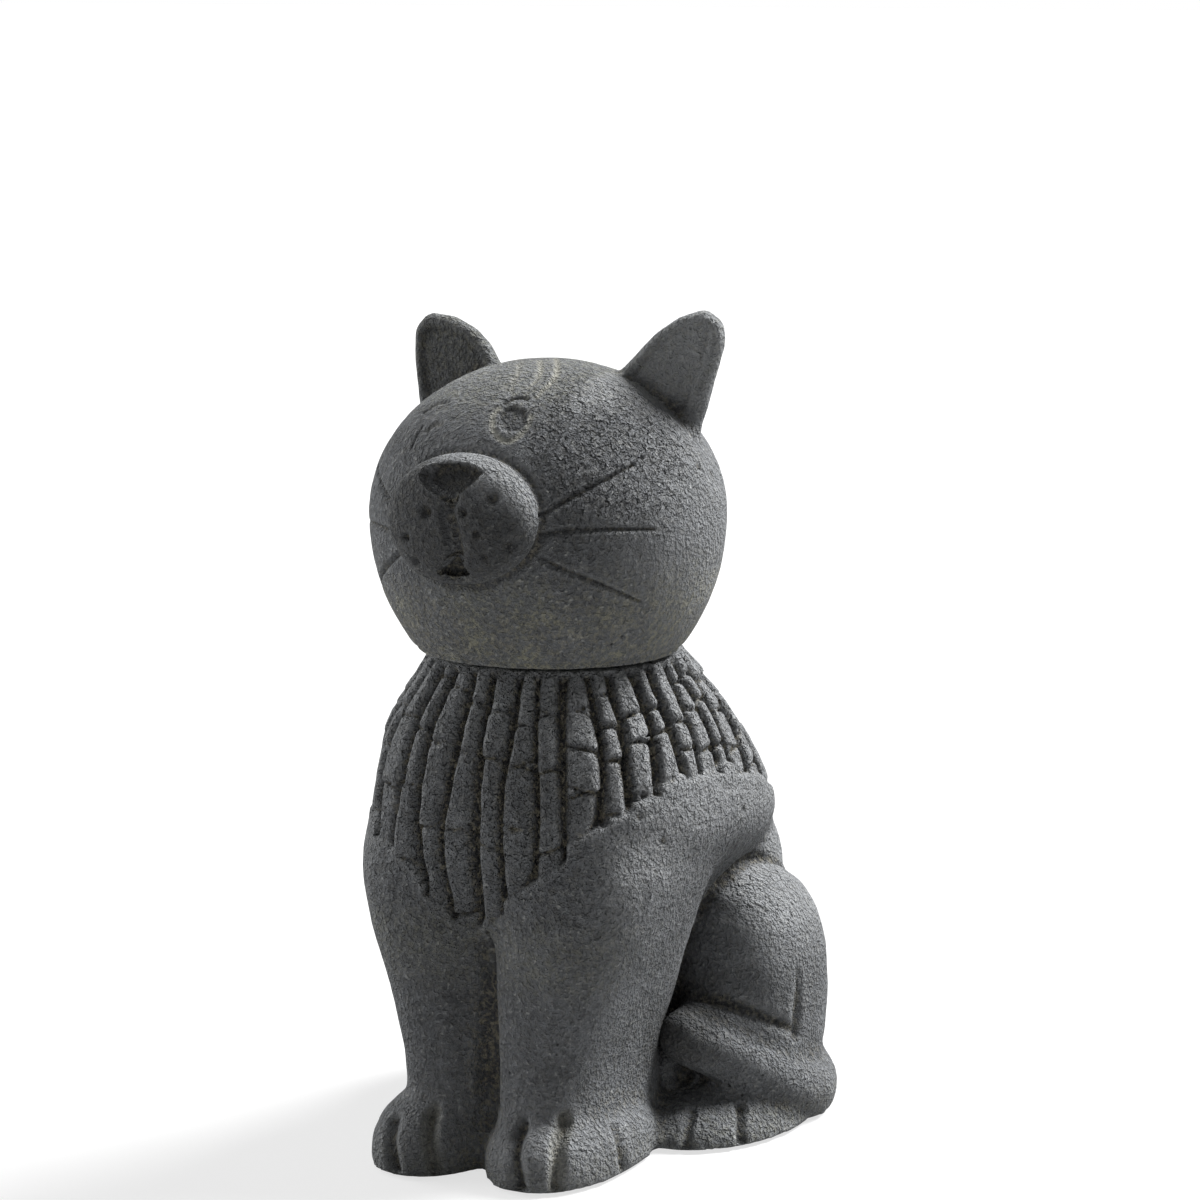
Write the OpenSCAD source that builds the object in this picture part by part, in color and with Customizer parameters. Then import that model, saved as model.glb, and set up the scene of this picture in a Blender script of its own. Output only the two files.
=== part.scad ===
// Seated cat statue of dark cast stone. The lower casting holds the torso, legs, haunches and tail.
// The head is a casting of its own: it stands on a flat neck seam, turns on a steel pin and lifts off.
// Millimetres, +Z up, the face towards -Y, the cat's left towards +X.
// The origin is on the ground under the middle of the statue's box.

/* [Placing] */
// Neck axis from the middle of the box, towards the cat's left
neck_x = -3.25; // [-20:0.01:20]
// Neck axis from the middle of the box, towards the back
neck_y = -21.71; // [-40:0.01:20]
// Height of the neck seam
neck_z = 233; // [220:1:250]

/* [Torso] */
// At the ground: height, centre y, half width, half depth, squareness of the plan
torso_sole = [0, 50, 38, 76, 2.4]; // [0:0.1:120]
// At the belly: height, centre y, half width, half depth, squareness
torso_belly = [78, 42, 40, 88, 2.6]; // [0:0.1:120]
// At the flank: height, centre y, half width, half depth, squareness
torso_flank = [116, 32, 57, 103, 2.7]; // [0:0.1:130]
// At the ribs: height, centre y, half width, half depth, squareness
torso_ribs = [144, 22, 80, 103, 2.8]; // [0:0.1:150]
// At the chest: height, centre y, half width, half depth, squareness
torso_chest = [166, 15, 84, 96, 2.7]; // [0:0.1:170]
// At the shoulder: depth below the neck seam, centre y, half width, half depth, squareness
torso_shoulder = [33, 5, 78, 79, 2.5]; // [0:0.1:100]
// At the collar: depth below the neck seam, centre y, half width, half depth, squareness
torso_collar = [15, 3, 69, 70, 2.2]; // [0:0.1:100]
// At the neck seam: depth below it, centre y, half width, half depth, squareness
torso_neck = [0, 0, 60, 60, 2]; // [0:0.1:100]

/* [Collar] */
// Number of carved tufts round the neck
tufts = 34; // [24:1:40]
// Depth of the grooves between the tufts
tuft_depth = 4.5; // [2:0.25:6]
// Height over which a groove runs out at the collar's lower border
tuft_fade = 6; // [3:0.5:12]
// Steep and gentle shoulder of a tuft, as shares of its width
tuft_shoulders = [0.18, 0.64]; // [0:0.01:1]

/* [Front legs] */
// At the ground: height, centre x, centre y, half width, half depth
leg_sole = [0, 25, -23, 26, 52]; // [-60:1:200]
// At the ankle: height, centre x, centre y, half width, half depth
leg_ankle = [40, 24, -22, 26, 53]; // [-60:1:200]
// At the elbow: height, centre x, centre y, half width, half depth
leg_elbow = [80, 28, -21, 32, 55]; // [-60:1:200]
// At the upper arm: height, centre x, centre y, half width, half depth
leg_arm = [120, 35, -21, 38, 57]; // [-60:1:200]
// At the shoulder blade: height, centre x, centre y, half width, half depth
leg_blade = [150, 40, -10, 39, 59]; // [-60:1:200]
// At the leg's top inside the torso: height, centre x, centre y, half width, half depth
leg_top = [182, 38, 4, 28, 44]; // [-60:1:200]
// Squareness of the leg's plan
leg_square = 2.9; // [2:0.1:3.5]
// Middle of the left front paw
paw_left = [28, -37, 9]; // [-60:1:60]
// Middle of the right front paw
paw_right = [-30, -41, 9]; // [-60:1:60]
// Half sizes of a front paw
paw_half = [32, 56, 26.5]; // [20:0.5:70]
// Squareness of a front paw
paw_square = 2.25; // [2:0.05:2.6]

/* [Haunches and tail] */
// Middle of the rump
rump_at = [0, 94, 118]; // [0:1:130]
// Half sizes of the rump
rump_half = [70, 44, 50]; // [40:1:90]
// Middle of the left haunch
haunch_at = [63, 77, 60]; // [40:1:90]
// Half sizes of a haunch
haunch_half = [34.5, 43, 62]; // [30:0.5:75]
// Squareness of a haunch
haunch_square = 2.4; // [2:0.05:2.6]
// Middle of the left hind foot
foot_at = [56, 58, 2]; // [0:1:70]
// Half sizes of a hind foot
foot_half = [42, 62, 24]; // [15:1:70]
// Radius of the tail from its root to the bend
tail_r = 17.5; // [14:0.5:22]
// Radius of the tail's tip
tail_tip_r = 14; // [10:0.5:20]
// Root of the tail, behind the body
tail_root = [0, 126, 22]; // [0:1:140]
// Tail where it starts to turn
tail_turn = [50, 120, 20]; // [0:1:140]
// Tail at the rear corner
tail_corner = [77, 102, 15]; // [0:1:140]
// Tail at the bend beside the haunch
tail_bend = [87, 82, 14]; // [0:1:140]
// Tail where it climbs forward
tail_climb = [82, 56, 26]; // [0:1:140]
// Tail where it comes to the front leg
tail_rise = [70, 37, 41]; // [0:1:140]
// Tip of the tail, tucked between haunch and leg
tail_tip = [62, 29, 48]; // [0:1:140]

/* [Body hollow] */
// Middle of the hollow's mouth, from the neck axis towards the back
hollow_mouth_y = 48; // [40:1:56]
// Half width of the hollow's mouth
hollow_mouth_half_w = 25; // [20:1:28]
// Half depth of the hollow's mouth
hollow_mouth_half_d = 56; // [40:1:62]
// Middle of the hollow's roof, from the neck axis towards the back
hollow_roof_y = 40; // [30:1:50]
// Half width of the hollow's roof
hollow_roof_half_w = 22; // [18:1:28]
// Half depth of the hollow's roof
hollow_roof_half_d = 46; // [30:1:56]
// Stone left between the hollow and the pin's socket
deck_t = 28; // [15:1:40]

/* [Head] */
// Half width of the head
head_half_w = 83; // [75:0.5:92]
// Half depth of the head
head_half_d = 80; // [72:0.5:88]
// Head above its widest level
head_rise = 71; // [64:0.5:80]
// Height of the full egg below the widest level, before the neck cut
head_drop = 92; // [84:0.5:100]
// Widest level of the head above the neck seam
head_level = 64; // [56:0.5:70]
// How far the head sits forward of the neck axis
head_forward = 8; // [0:0.5:15]
// Sideways tilt of the face and ears
head_roll = 3; // [0:0.5:8]
// Half sizes of the muzzle pad
muzzle_half = [38, 21, 30]; // [15:0.5:45]
// Middle of the muzzle pad above the middle of the head
muzzle_rise = 6; // [-5:0.5:10]
// How far the muzzle pad stands out of the head
muzzle_out = 12; // [8:0.5:18]
// Radius of the groove cut for each whisker, the mouth and the nose
carve_r = 2.2; // [1.5:0.1:3]
// Radius of the hollow inside the head
head_core_r = 50; // [40:1:56]
// Radius of the hollow's mouth in the head's underside
head_mouth_r = 38; // [30:1:44]

/* [Ears] */
// Half thickness of an ear
ear_r = 6; // [4:0.5:8]
// Ear plate behind the middle of the head, half way along the ear
ear_back = 14; // [5:1:25]
// Left ear's outer root from the head's middle: sideways, up
ear_left_root_out = [61, 21]; // [10:0.5:100]
// Left ear's outer edge: sideways, up
ear_left_side = [79.5, 76]; // [10:0.5:100]
// Left ear's tip: sideways, up
ear_left_tip = [79, 82]; // [10:0.5:100]
// Left ear's crown: sideways, up
ear_left_crown = [75.5, 85]; // [10:0.5:100]
// Left ear's rounded shoulder: sideways, up
ear_left_shoulder = [66, 82.5]; // [10:0.5:100]
// Left ear's inner edge: sideways, up
ear_left_edge = [56, 76.5]; // [10:0.5:100]
// Left ear's inner root: sideways, up
ear_left_root_in = [24, 47]; // [10:0.5:100]
// Right ear's outer root from the head's middle: sideways, up
ear_right_root_out = [67, 18]; // [10:0.5:100]
// Right ear's outer edge: sideways, up
ear_right_side = [70.5, 69]; // [10:0.5:100]
// Right ear's tip: sideways, up
ear_right_tip = [69.5, 81]; // [10:0.5:100]
// Right ear's crown: sideways, up
ear_right_crown = [65.5, 85]; // [10:0.5:100]
// Right ear's rounded shoulder: sideways, up
ear_right_shoulder = [54.5, 83.5]; // [10:0.5:100]
// Right ear's inner edge: sideways, up
ear_right_edge = [45, 79]; // [10:0.5:100]
// Right ear's inner bend: sideways, up
ear_right_bend = [38, 72.5]; // [10:0.5:100]
// Right ear's inner root: sideways, up
ear_right_root_in = [24, 47]; // [10:0.5:100]
// Turn of an ear, its outer edge to the back
ear_turn = 6; // [0:1:20]

/* [Neck pin] */
// Radius of the pin
pin_r = 8; // [6:0.5:10]
// Length of the pin in the body
pin_in_body = 55; // [40:1:65]
// Length of the pin above the neck seam
pin_in_head = 53; // [40:1:60]
// Bevel at the pin's top
pin_bevel = 1.5; // [0.5:0.25:3]
// Running clearance round the pin in its sleeve
pin_play = 0.05; // [0.02:0.01:0.1]
// Wall of the sleeve
sleeve_wall = 3; // [2:0.5:5]
// Sleeve above the pin's top
sleeve_spare = 4; // [2:1:8]
// Mortar wall round the pin
mortar_t = 6; // [4:0.5:9]
// Mortar under the pin
mortar_floor = 3; // [2:0.5:6]
// Drop of the mortar below the neck seam
mortar_drop = 2; // [1:0.5:4]
// Gap of a bedded fit
bed = 0.05; // [0.03:0.01:0.1]
// Thickness of the washer that parts head and body
washer_t = 1.5; // [1:0.25:3]
// Outer radius of the washer
washer_r = 48; // [40:1:54]
// Room round the pin inside the washer
washer_room = 1; // [0.5:0.25:2]
// Thickness of the plug under the head
plug_t = 14; // [8:1:20]

/* [Pads] */
// Radius of a pad
pad_r = 12; // [8:0.5:14]
// Thickness of a pad
pad_t = 1.5; // [1:0.25:3]
// Front pads, forward of the paw's middle
pad_front_step = 16; // [5:1:25]
// Rear pads from the hind foot's middle: outwards, back
pad_rear_step = [12, 21]; // [0:1:30]

/* [Hidden] */

stone = [0.36, 0.37, 0.37];
mortar = [0.62, 0.60, 0.55];
felt = [0.16, 0.16, 0.17];

ring_sides = 52;
leg_sides = 30;
ball_sides = 22;
head_sides = 46;
muzzle_sides = 32;
ear_sides = 20;
small_sides = 12;
round_sides = 72;
station_steps = 3;
latitudes = 20;
head_latitudes = 26;
pole = 87;
tail_steps = 3;
whisker_steps = 5;
past = 1;

left = 1;
right = -1;
socket_r = pin_r + mortar_t;
socket_depth = pin_in_body + mortar_floor;
hollow_roof_z = neck_z - socket_depth - deck_t;
head_base_z = neck_z + washer_t;
head_mid = [0, -head_forward, neck_z + head_level];
sleeve_r = pin_r + pin_play + sleeve_wall;
sleeve_len = pin_in_head - washer_t + sleeve_spare;
muzzle_y = muzzle_half[1] - head_half_d - muzzle_out;

// Torso and leg stations from the ground up: height, centre x, centre y, half width, half depth, squareness
function low(s) = [s[0], 0, s[1], s[2], s[3], s[4]];
function high(s) = [neck_z - s[0], 0, s[1], s[2], s[3], s[4]];
torso = [low(torso_sole), low(torso_belly), low(torso_flank), low(torso_ribs), low(torso_chest),
    high(torso_shoulder), high(torso_collar), high(torso_neck)];
leg = [leg_sole, leg_ankle, leg_elbow, leg_arm, leg_blade, leg_top];
// Tail entries with the share of the way from the full radius to the tip's
tail = [[tail_root, 0], [tail_turn, 0], [tail_corner, 0], [tail_bend, 0],
    [tail_climb, 0.3], [tail_rise, 0.7], [tail_tip, 1]];
ear_left = [ear_left_root_out, ear_left_side, ear_left_tip, ear_left_crown, ear_left_shoulder,
    ear_left_edge, ear_left_root_in];
ear_right = [ear_right_root_out, ear_right_side, ear_right_tip, ear_right_crown, ear_right_shoulder,
    ear_right_edge, ear_right_bend, ear_right_root_in];

// Lower border of the collar: angle from the front towards the cat's left, depth below the neck seam
collar_border = [[-180, 93], [-140, 83], [-100, 71], [-75, 72], [-50, 76], [-33, 84], [-25, 93], [-14, 109],
    [-5.6, 117], [3.6, 116], [17.8, 97], [29.5, 80], [41.8, 67], [53.8, 55], [80, 48], [106, 53], [125, 60],
    [138, 73], [160, 87], [180, 93]];

// Whiskers on the head's surface: start angle from the front, start level, end angle, end level
whiskers = [[29, 8, 59, 26], [28, 2, 63, -1], [28, -9, 60, -33]];
// Corners of the nose and of the mouth, and the line between them: sideways, up from the head's middle
nose = [[-14, 27], [14, 28], [0, 16]];
mouth = [[-7.5, -16], [7.5, -16], [0, -10]];
philtrum = [[0, 16], [0, -10]];

// Point i of a rounded-square ring of half sizes a and b
function ring_point(a, b, n, t) = [a * sign(cos(t)) * pow(abs(cos(t)), 2 / n),
    b * sign(sin(t)) * pow(abs(sin(t)), 2 / n)];
function ring(z, x, y, a, b, n, sides) = [for (i = [0 : sides - 1])
    let (q = ring_point(a, b, n, 360 * i / sides)) [x + q[0], y + q[1], z]];

// Smooth curve between two entries, from their values, their slopes and a share of the way
function blend(p, q, m, n, t) = p * (2 * t^3 - 3 * t^2 + 1) + m * (t^3 - 2 * t^2 + t)
    + q * (3 * t^2 - 2 * t^3) + n * (t^3 - t^2);
// Entries of a list between its ends, with the span of each entry's slope
function before(i) = max(i - 1, 0);
function after(s, i) = min(i + 1, len(s) - 1);
// Stations: slopes are per height, so that the heights stay evenly spaced
function rate(s, i) = (s[after(s, i)] - s[before(i)]) / (s[after(s, i)][0] - s[before(i)][0]);
function station(s, i, t) = let (h = s[i + 1][0] - s[i][0])
    blend(s[i], s[i + 1], rate(s, i) * h, rate(s, i + 1) * h, t);
function stations(s, steps) = [for (i = [0 : len(s) - 2]) for (k = [0 : steps - 1]) station(s, i, k / steps),
    s[len(s) - 1]];
// Routes: slopes are per entry
function slope(s, i) = (s[after(s, i)] - s[before(i)]) / (after(s, i) - before(i));
function route(s, steps) = [for (i = [0 : len(s) - 2]) for (k = [0 : steps - 1])
    blend(s[i], s[i + 1], slope(s, i), slope(s, i + 1), k / steps), s[len(s) - 1]];

// Torso station's edge along a ray from the neck axis, found by halving
function beyond(s, a, r) = pow(abs(r * sin(a) / s[3]), s[5]) + pow(abs((r * cos(a) + s[2]) / s[4]), s[5]) > 1;
function edge(s, a, low, high, n) = let (r = (low + high) / 2)
    n == 0 ? r : beyond(s, a, r) ? edge(s, a, low, r, n - 1) : edge(s, a, r, high, n - 1);
// Groove k of the collar wanders a little on its way down: its place in tuft widths from the back
function groove(k, z) = k + 0.1 * sin(151 * (k % tufts) + 2.6 * z) + 0.03 * sin(67 * (k % tufts) - 5 * z);
function groove_depth(a, z) = tuft_depth * min(max((z - neck_z + lookup(a, collar_border)) / tuft_fade, 0), 1);
// Torso ring: each tuft has a point in its groove and one on either shoulder
function tuft_point(s, place, cut) = let (a = 360 * place / tufts - 180,
    r = edge(s, a, 0, 2 * s[4], 24) - cut * groove_depth(a, s[0])) [r * sin(a), -r * cos(a), s[0]];
function tufted(s) = [for (k = [0 : tufts - 1]) let (from = groove(k, s[0]), to = groove(k + 1, s[0]))
    each [tuft_point(s, from, 1), tuft_point(s, from + (to - from) * tuft_shoulders[0], 0),
        tuft_point(s, from + (to - from) * tuft_shoulders[1], 0)]];

// Point of the head's surface at an angle from the front and a level above its middle
function egg(level) = sqrt(1 - pow(level / (level > 0 ? head_rise : head_drop), 2));
function head_point(angle, level) = [head_half_w * egg(level) * sin(angle),
    -head_half_d * egg(level) * cos(angle), level];
// Point of the muzzle pad's surface, sideways and up from the head's middle
function muzzle_point(q) = [q[0], muzzle_y - muzzle_half[1]
    * sqrt(1 - pow(q[0] / muzzle_half[0], 2) - pow((q[1] - muzzle_rise) / muzzle_half[2], 2)), q[1]];

// Skin over a stack of rings, closed by its first and last ring
module skin(rings) {
    n = len(rings[0]);
    last = (len(rings) - 1) * n;
    sides = [for (j = [0 : len(rings) - 2]) for (i = [0 : n - 1])
        let (a = j * n + i, b = j * n + (i + 1) % n)
        each [[a, a + n, b + n], [a, b + n, b]]];
    floor_cap = [[for (i = [0 : n - 1]) i]];
    roof_cap = [[for (i = [n - 1 : -1 : 0]) last + i]];
    polyhedron(points = [for (r = rings) each r], faces = concat(sides, floor_cap, roof_cap), convexity = 6);
}

// Upright form through stations
module column(levels, sides) {
    skin([for (s = stations(levels, station_steps)) ring(s[0], s[1], s[2], s[3], s[4], s[5], sides)]);
}

// Rounded form of half sizes h and squareness n, with its own half height below the middle
module blob(h, n, drop, sides, bands) {
    skin([for (j = [0 : bands / 2])
        let (lat = -pole + 4 * pole * j / bands,
            c = pow(cos(lat), 2 / n),
            s = sign(lat) * pow(abs(sin(lat)), 2 / n))
        ring(s * (s > 0 ? h[2] : drop), 0, 0, h[0] * c, h[1] * c, n, sides)]);
}

// Ball chain: each ball, given by its middle and its radius, hulled to the next
module chain(balls, sides) {
    for (i = [0 : len(balls) - 2]) {
        hull() {
            for (b = [balls[i], balls[i + 1]]) {
                translate([b[0], b[1], b[2]]) sphere(b[3], $fn = sides);
            }
        }
    }
}

// Everything is shaped about the neck axis and then set in the statue's own frame
module placed() {
    translate([neck_x, neck_y, 0]) children();
}

module front_leg(side) {
    column([for (s = leg) [s[0], side * s[1], s[2], s[3], s[4], leg_square]], leg_sides);
}

module paw(at) {
    translate(at) blob(paw_half, paw_square, paw_half[2], leg_sides, latitudes);
}

module haunch(side) {
    translate([side * haunch_at[0], haunch_at[1], haunch_at[2]])
        blob(haunch_half, haunch_square, haunch_half[2], leg_sides, latitudes);
    translate([side * foot_at[0], foot_at[1], foot_at[2]])
        blob(foot_half, 2, foot_half[2], leg_sides, latitudes);
}

module body_form() {
    skin([for (s = stations(torso, station_steps)) tufted(s)]);
    for (side = [left, right]) {
        front_leg(side);
        haunch(side);
    }
    translate(rump_at) blob(rump_half, 2, rump_half[2], leg_sides, latitudes);
    paw(paw_left);
    paw(paw_right);
    balls = [for (e = tail) concat(e[0], tail_r + (tail_tip_r - tail_r) * e[1])];
    chain(route(balls, tail_steps), ball_sides);
}

// Tapered hollow that is open underneath
module body_hollow() {
    hull() {
        translate([0, hollow_mouth_y, -past])
            scale([hollow_mouth_half_w, hollow_mouth_half_d, 1])
                cylinder(r = 1, h = past, $fn = ring_sides);
        translate([0, hollow_roof_y, hollow_roof_z - past])
            scale([hollow_roof_half_w, hollow_roof_half_d, 1])
                cylinder(r = 1, h = past, $fn = ring_sides);
    }
}

module body_casting() {
    color(stone) placed() difference() {
        body_form();
        body_hollow();
        translate([0, 0, neck_z - socket_depth]) cylinder(r = socket_r, h = socket_depth + past, $fn = round_sides);
        // Flat underside, one pad's thickness above the ground
        translate([-2 * torso_flank[3], -2 * torso_flank[3], -4 * foot_half[2]])
            cube([4 * torso_flank[3], 4 * torso_flank[3], 4 * foot_half[2] + pad_t]);
    }
}

module pin_mortar() {
    color(mortar) placed() translate([0, 0, neck_z - socket_depth]) difference() {
        cylinder(r = socket_r - bed, h = socket_depth - mortar_drop, $fn = round_sides);
        translate([0, 0, mortar_floor]) cylinder(r = pin_r + bed, h = socket_depth, $fn = round_sides);
    }
}

module neck_pin() {
    color("silver") placed() translate([0, 0, neck_z - pin_in_body]) {
        cylinder(r = pin_r, h = pin_in_body + pin_in_head - pin_bevel, $fn = round_sides);
        translate([0, 0, pin_in_body + pin_in_head - pin_bevel])
            cylinder(r1 = pin_r, r2 = pin_r - pin_bevel, h = pin_bevel, $fn = round_sides);
    }
}

module pad(at) {
    color(felt) placed() translate([at[0], at[1], 0]) cylinder(r = pad_r, h = pad_t, $fn = round_sides);
}

module front_pad(paw_at) {
    pad([paw_at[0], paw_at[1] - pad_front_step]);
}

module rear_pad(side) {
    pad([side * (foot_at[0] + pad_rear_step[0]), foot_at[1] + pad_rear_step[1]]);
}

module neck_washer() {
    color(felt) placed() translate([0, 0, neck_z]) difference() {
        cylinder(r = washer_r, h = washer_t, $fn = round_sides);
        translate([0, 0, -past]) cylinder(r = pin_r + washer_room, h = washer_t + 2 * past, $fn = round_sides);
    }
}

// Ear plate: balls at its corners in an upright plane, hulled
module ear(side, corners) {
    middle = (corners[0][0] + corners[len(corners) - 1][0]) / 2;
    hull() {
        for (q = corners) {
            translate([side * q[0], ear_back + (q[0] - middle) * tan(ear_turn), q[1]]) sphere(ear_r, $fn = ear_sides);
        }
    }
}

module whisker(side, w) {
    points = [for (k = [0 : whisker_steps])
        let (t = k / whisker_steps) head_point(w[0] + (w[2] - w[0]) * t, w[1] + (w[3] - w[1]) * t)];
    chain([for (p = points) [side * p[0], p[1], p[2], carve_r]], small_sides);
}

module carved_patch(corners) {
    hull() {
        for (q = corners) {
            translate(muzzle_point(q)) sphere(carve_r, $fn = small_sides);
        }
    }
}

module face_carving() {
    for (side = [left, right]) {
        for (w = whiskers) {
            whisker(side, w);
        }
    }
    carved_patch(nose);
    carved_patch(mouth);
    carved_patch(philtrum);
}

module head_form() {
    difference() {
        union() {
            blob([head_half_w, head_half_d, head_rise], 2, head_drop, head_sides, head_latitudes);
            rotate([0, -head_roll, 0]) {
                translate([0, muzzle_y, muzzle_rise]) blob(muzzle_half, 2, muzzle_half[2], muzzle_sides, head_latitudes);
                ear(left, ear_left);
                ear(right, ear_right);
            }
        }
        rotate([0, -head_roll, 0]) face_carving();
    }
}

module head_casting() {
    color(stone) placed() difference() {
        translate(head_mid) head_form();
        translate(head_mid) sphere(head_core_r, $fn = head_sides);
        translate([0, 0, head_base_z - past]) cylinder(r = head_mouth_r, h = head_level, $fn = round_sides);
        // Flat underside on the washer
        translate([-2 * head_half_w, -2 * head_half_d, head_base_z - 2 * head_drop])
            cube([4 * head_half_w, 4 * head_half_d, 2 * head_drop]);
    }
}

module head_plug() {
    color(mortar) placed() translate([0, 0, head_base_z]) difference() {
        cylinder(r = head_mouth_r - bed, h = plug_t, $fn = round_sides);
        translate([0, 0, -past]) cylinder(r = sleeve_r + bed, h = plug_t + 2 * past, $fn = round_sides);
    }
}

module pin_sleeve() {
    color("ivory") placed() translate([0, 0, head_base_z]) difference() {
        cylinder(r = sleeve_r, h = sleeve_len, $fn = round_sides);
        translate([0, 0, -past]) cylinder(r = pin_r + pin_play, h = sleeve_len + 2 * past, $fn = round_sides);
    }
}

body_casting();
pin_mortar();
neck_pin();
front_pad(paw_left);  // pad_front_left
front_pad(paw_right);  // pad_front_right
rear_pad(left);  // pad_rear_left
rear_pad(right);  // pad_rear_right
neck_washer();
head_casting();
head_plug();
pin_sleeve();
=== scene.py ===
"""Looks of the seated cat statue: two dark cast-stone pieces, carved over the frame's own forms."""

import logging
import math
from abc import ABC, abstractmethod
from dataclasses import dataclass, field, replace
from enum import Enum
from typing import ClassVar

import bmesh
import bpy
import numpy as np
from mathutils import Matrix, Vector, noise


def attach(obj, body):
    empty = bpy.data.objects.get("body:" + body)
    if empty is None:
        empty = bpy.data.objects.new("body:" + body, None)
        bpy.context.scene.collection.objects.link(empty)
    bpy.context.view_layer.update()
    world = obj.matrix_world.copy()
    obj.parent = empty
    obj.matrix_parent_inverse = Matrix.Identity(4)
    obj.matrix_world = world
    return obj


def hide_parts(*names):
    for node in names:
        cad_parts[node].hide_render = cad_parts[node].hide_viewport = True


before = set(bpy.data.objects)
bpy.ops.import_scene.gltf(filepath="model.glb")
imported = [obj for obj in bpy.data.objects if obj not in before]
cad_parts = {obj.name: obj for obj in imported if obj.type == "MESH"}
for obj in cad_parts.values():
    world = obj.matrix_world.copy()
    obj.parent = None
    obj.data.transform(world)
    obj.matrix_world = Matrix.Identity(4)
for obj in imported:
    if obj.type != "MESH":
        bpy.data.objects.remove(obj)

LOG = logging.getLogger("cat_statue")
MM = 0.001
NECK_AXIS = np.array([-3.25, -21.71, 0.0])
HEAD_MIDDLE = np.array([0.0, -8.0, 297.0])
HEAD_ROLL = math.radians(3.0)
NECK_SEAM = 233.0
FLOOR_EDGE = 2.2
WHITE = (1.0, 1.0, 1.0, 1.0)
FAR = 1e9
# Colour layers of the stone: painted shade, wear with painted light, dust, moss, chalk and coarseness.
STAINS_AND_LIGHT = ("painted_shade", "wear_and_light", "dust", "moss", "chalk", "coarse")
GRAIN_LAYERS = ("Patches", "Mottle", "Grain", "Pores")

Point = tuple[float, float, float]
Flat = tuple[float, float]
Colour = tuple[float, float, float, float]
Array = np.ndarray
BMesh = bmesh.types.BMesh
Node = bpy.types.Node
Socket = bpy.types.NodeSocket


class Body(Enum):
    """Bodies that the two castings ride on."""

    BASE = "base"
    HEAD = "head"


class Section(Enum):
    """Cross-section of a chisel cut."""

    VEE = "vee"
    ROUND = "round"


def ease(low: float, high: float, value: Array) -> Array:
    """Smooth rise from 0 at low to 1 at high."""
    share = np.clip((value - low) / (high - low), 0.0, 1.0)
    return share * share * (3.0 - 2.0 * share)


def head_frame(points: Array) -> Array:
    """Points of the statue turned into the head's own frame, with its sideways tilt taken out.

    Args:
        points: Points about the neck axis, in millimetres.

    Returns:
        Points about the middle of the head.
    """
    moved = points - HEAD_MIDDLE
    across, ahead, up = moved.T
    c, s = math.cos(HEAD_ROLL), math.sin(HEAD_ROLL)
    return np.stack([across * c + up * s, ahead, up * c - across * s], axis=1)


def uneven(points: Array, size: float, shift: float) -> Array:
    """Soft random unevenness from about 0 to 1, with bumps of one size in millimetres."""
    step = Vector((shift, 1.7 * shift, 0.6 * shift))
    return np.array([0.5 + 0.5 * noise.noise(Vector(p) / size + step) for p in points])


def dome(points: Array, half: Array, square: float = 2.0) -> Array:
    """Distance from a rounded form along the line to its middle.

    Args:
        points: Points about the middle of the form.
        half: Half sizes.
        square: Squareness of the form from back to front.

    Returns:
        Distances in millimetres, below 0 inside.
    """
    share = np.abs(points / half)
    reach = (np.hypot(share[:, 0], share[:, 2]) ** square + share[:, 1] ** square) ** (1.0 / square)
    return np.linalg.norm(points, axis=1) * (1.0 - 1.0 / np.maximum(reach, 1e-6))


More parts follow.
